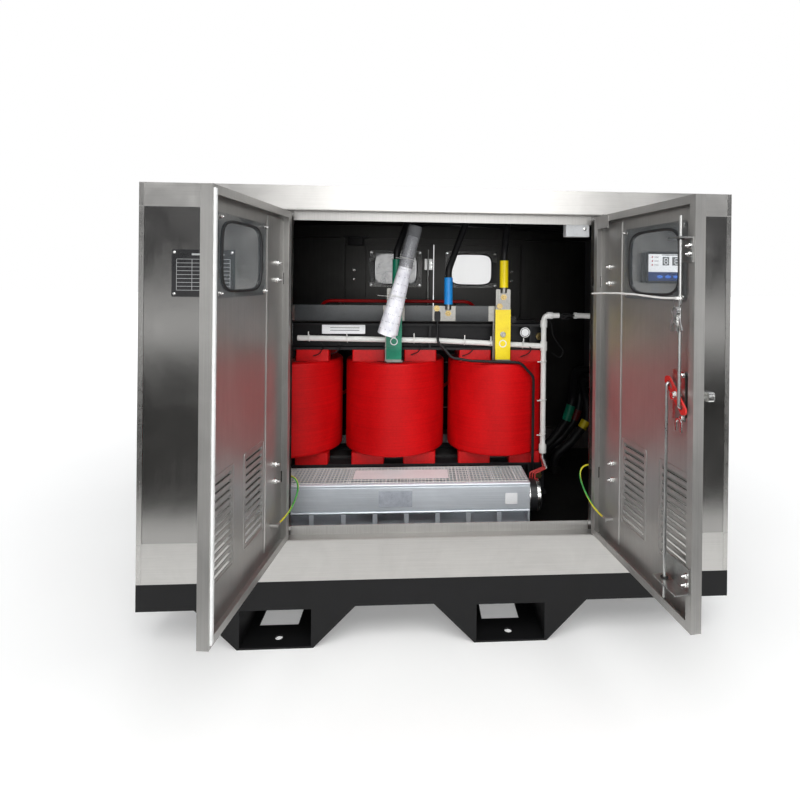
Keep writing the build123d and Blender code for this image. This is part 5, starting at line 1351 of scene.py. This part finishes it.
class DocumentRollOperator(Operator):
    """Replaces the document roll by rolled papers in a clear tube, tied to the middle cable."""

    bl_idname = "transformer.document_roll"
    bl_label = "Document roll"

    def execute(self, context):
        low, high = np.array((-41.0, -349.8, 838.0)), np.array((47.0, -349.8, 1184.0))
        axis = (high - low) / np.linalg.norm(high - low)
        across = np.cross(axis, Y)
        length = np.linalg.norm(high - low)
        place = Place(low, across, Y, axis)
        paper = Shape()
        turn = np.linspace(0.0, 2 * np.pi * 2.7, 150)
        count = 24
        along = np.linspace(4.0, length * 0.9, count)
        spread = 17.0 + 17.0 * np.clip(1 - along / (length * 0.8), 0, 1) ** 0.9
        share = 0.68 + 0.32 * turn / turn[-1]
        outer = (share[None] * spread[:, None]) * (1 + 0.02 * np.sin(3 * turn[None] + along[:, None] / 37.0))
        edge = along[:, None] + 4.0 * np.sin(turn[None] * 0.5) * (along[:, None] < 20)
        grid = np.stack((outer * np.cos(turn), outer * np.sin(turn), edge), -1)
        inner = grid.copy()
        inner[..., :2] *= ((outer - 0.5) / outer)[..., None]
        rings = np.concatenate((grid, inner[:, ::-1]), 1)
        paper.add(rings, place)
        roll = paper.make("document_papers", "enclosure", "paper", 60.0)
        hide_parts("document_roll")
        tube = Shape()
        foot, lip = length * 0.62, 22.5
        profile = (
            (lip - 1.6, foot),
            (lip, foot + 0.6),
            (lip, length - 8.0),
            (lip - 3.0, length - 1.0),
            (lip - 5.0, length),
            (lip - 6.6, length),
            (lip - 2.0, length - 9.0),
            (lip - 1.6, foot + 12.0),
        )
        tube.add(turned(profile, 36), place, closed=True)
        tube.make("document_tube", "enclosure", "tube_clear")
        ties = Shape()
        for share, tail in ((0.36, 70.0), (0.7, 20.0)):
            centre = low + axis * length * share
            grow = 29.0 if share < 0.5 else 23.6
            band = loop_path(centre, grow, grow, across, Y, 40)
            ties.add(hoop(band, 2.4, 1.0, 6, axis), closed=True)
            start = centre - Y * (grow + 1.0)
            points = [start, start - X * 24.0 - Y * 6.0, start - X * (24.0 + tail * 0.5) - Y * 3.0 + Z * 2.0]
            ties.add(strap(points, 12, 2.2, 0.8))
        ties.make("document_ties", "enclosure", "white_tie")
        return {"FINISHED"}


class EnclosureTrimOperator(Operator):
    """Adds the corner strips, the film behind a rear window, the ceiling bracket and the switch's screw."""

    bl_idname = "transformer.enclosure_trim"
    bl_label = "Enclosure trim"

    def execute(self, context):
        strips = Shape()
        for y, sign in ((FRONT, -1), (REAR, 1)):
            for x in (LEFT + 7.0, RIGHT - 7.0):
                for low, high in ((187.0, 293.0), (ROOF_BOTTOM + 2.0, ROOF_TOP - 2.0)):
                    place = Place((x, y, (low + high) / 2), X if sign < 0 else -X, Z, sign * Y)
                    strips.add(plate(13.0, high - low, 0.8, 1.0, 0.3), place)
        strips.make("corner_strips", "enclosure", "steel_post")
        self.film()
        self.ceiling_bracket()
        self.switch_screw()
        return {"FINISHED"}

    def film(self):
        """Crumpled white film behind the pane of one rear window: a grid lifted by sines."""
        u = np.linspace(-96.0, 96.0, 60)
        v = np.linspace(-74.0, 74.0, 46)
        a, b = np.meshgrid(u, v, indexing="ij")
        fold = 2.2 * np.sin(a / 9.0 + 1.7 * np.sin(b / 23.0)) + 1.8 * np.sin(b / 7.0 + 1.3 * np.sin(a / 31.0))
        depth = 11.0 + fold
        front_side = np.stack((a, b, depth + 0.3), -1)
        back_side = np.stack((a, b, depth - 0.3), -1)
        rings = np.concatenate((front_side, back_side[:, ::-1]), 1)
        sheet_film = Shape().add(rings[:, ::-1], on_leaf("rear_right", WINDOW_S, WINDOW_Z, SHEET))
        sheet_film.make("rear_window_film", LEAVES["rear_right"][3], "film_white", 80.0)

    def ceiling_bracket(self):
        bracket = Shape()
        bracket.add(plate(110.0, 40.0, 5.0, 4.0, 1.0), Place((-232.0, 440.0, 1206.9), X, -Y, -Z))
        bracket.add(plate(70.0, 26.0, 36.0, 4.0, 2.0), Place((-232.0, 440.0, 1202.0), X, -Y, -Z))
        bracket.make("ceiling_bracket", "enclosure", "clamp_paint")

    def switch_screw(self):
        screw = Shape().add(screw_dome(5.0, 2.2), facing_front(535.0, 1166.0, -516.0))
        screw.make("switch_screw", "enclosure", "bright_zinc")


PIECES = (
    FinishOperator,
    StageOperator,
    EarthWireOperator,
    DoorTrimOperator,
    LockDetailOperator,
    RatingPlateOperator,
    ControllerFaceOperator,
    FanTrimOperator,
    TerminalOperator,
    ConduitOperator,
    DocumentRollOperator,
    EnclosureTrimOperator,
)


class TransformerPanel(Panel):
    """Lists the pieces and the settings in the sidebar."""

    bl_idname = "VIEW3D_PT_transformer_looks"
    bl_label = "Transformer looks"
    bl_space_type = "VIEW_3D"
    bl_region_type = "UI"
    bl_category = "Transformer"

    def draw(self, context):
        looks = context.scene.transformer_looks
        for name in TransformerLooks.__annotations__:
            self.layout.prop(looks, name)
        for piece in PIECES:
            self.layout.operator(piece.bl_idname)


def register():
    for made in (TransformerLooks, *PIECES, TransformerPanel):
        bpy.utils.register_class(made)
    bpy.types.Scene.transformer_looks = PointerProperty(type=TransformerLooks)


def unregister():
    del bpy.types.Scene.transformer_looks
    for made in (TransformerPanel, *PIECES[::-1], TransformerLooks):
        bpy.utils.unregister_class(made)


def main():
    register()
    bpy.ops.transformer.finishes()
    bpy.ops.transformer.stage()
    bpy.ops.transformer.earth_wires()
    bpy.ops.transformer.door_trim()
    bpy.ops.transformer.lock_details()
    bpy.ops.transformer.rating_plate()
    bpy.ops.transformer.controller_face()
    bpy.ops.transformer.fan_trim()
    bpy.ops.transformer.terminals()
    bpy.ops.transformer.conduit()
    bpy.ops.transformer.document_roll()
    bpy.ops.transformer.enclosure_trim()
    bpy.context.scene.view_settings.view_transform = "Standard"


if __name__ == "__main__":
    main()
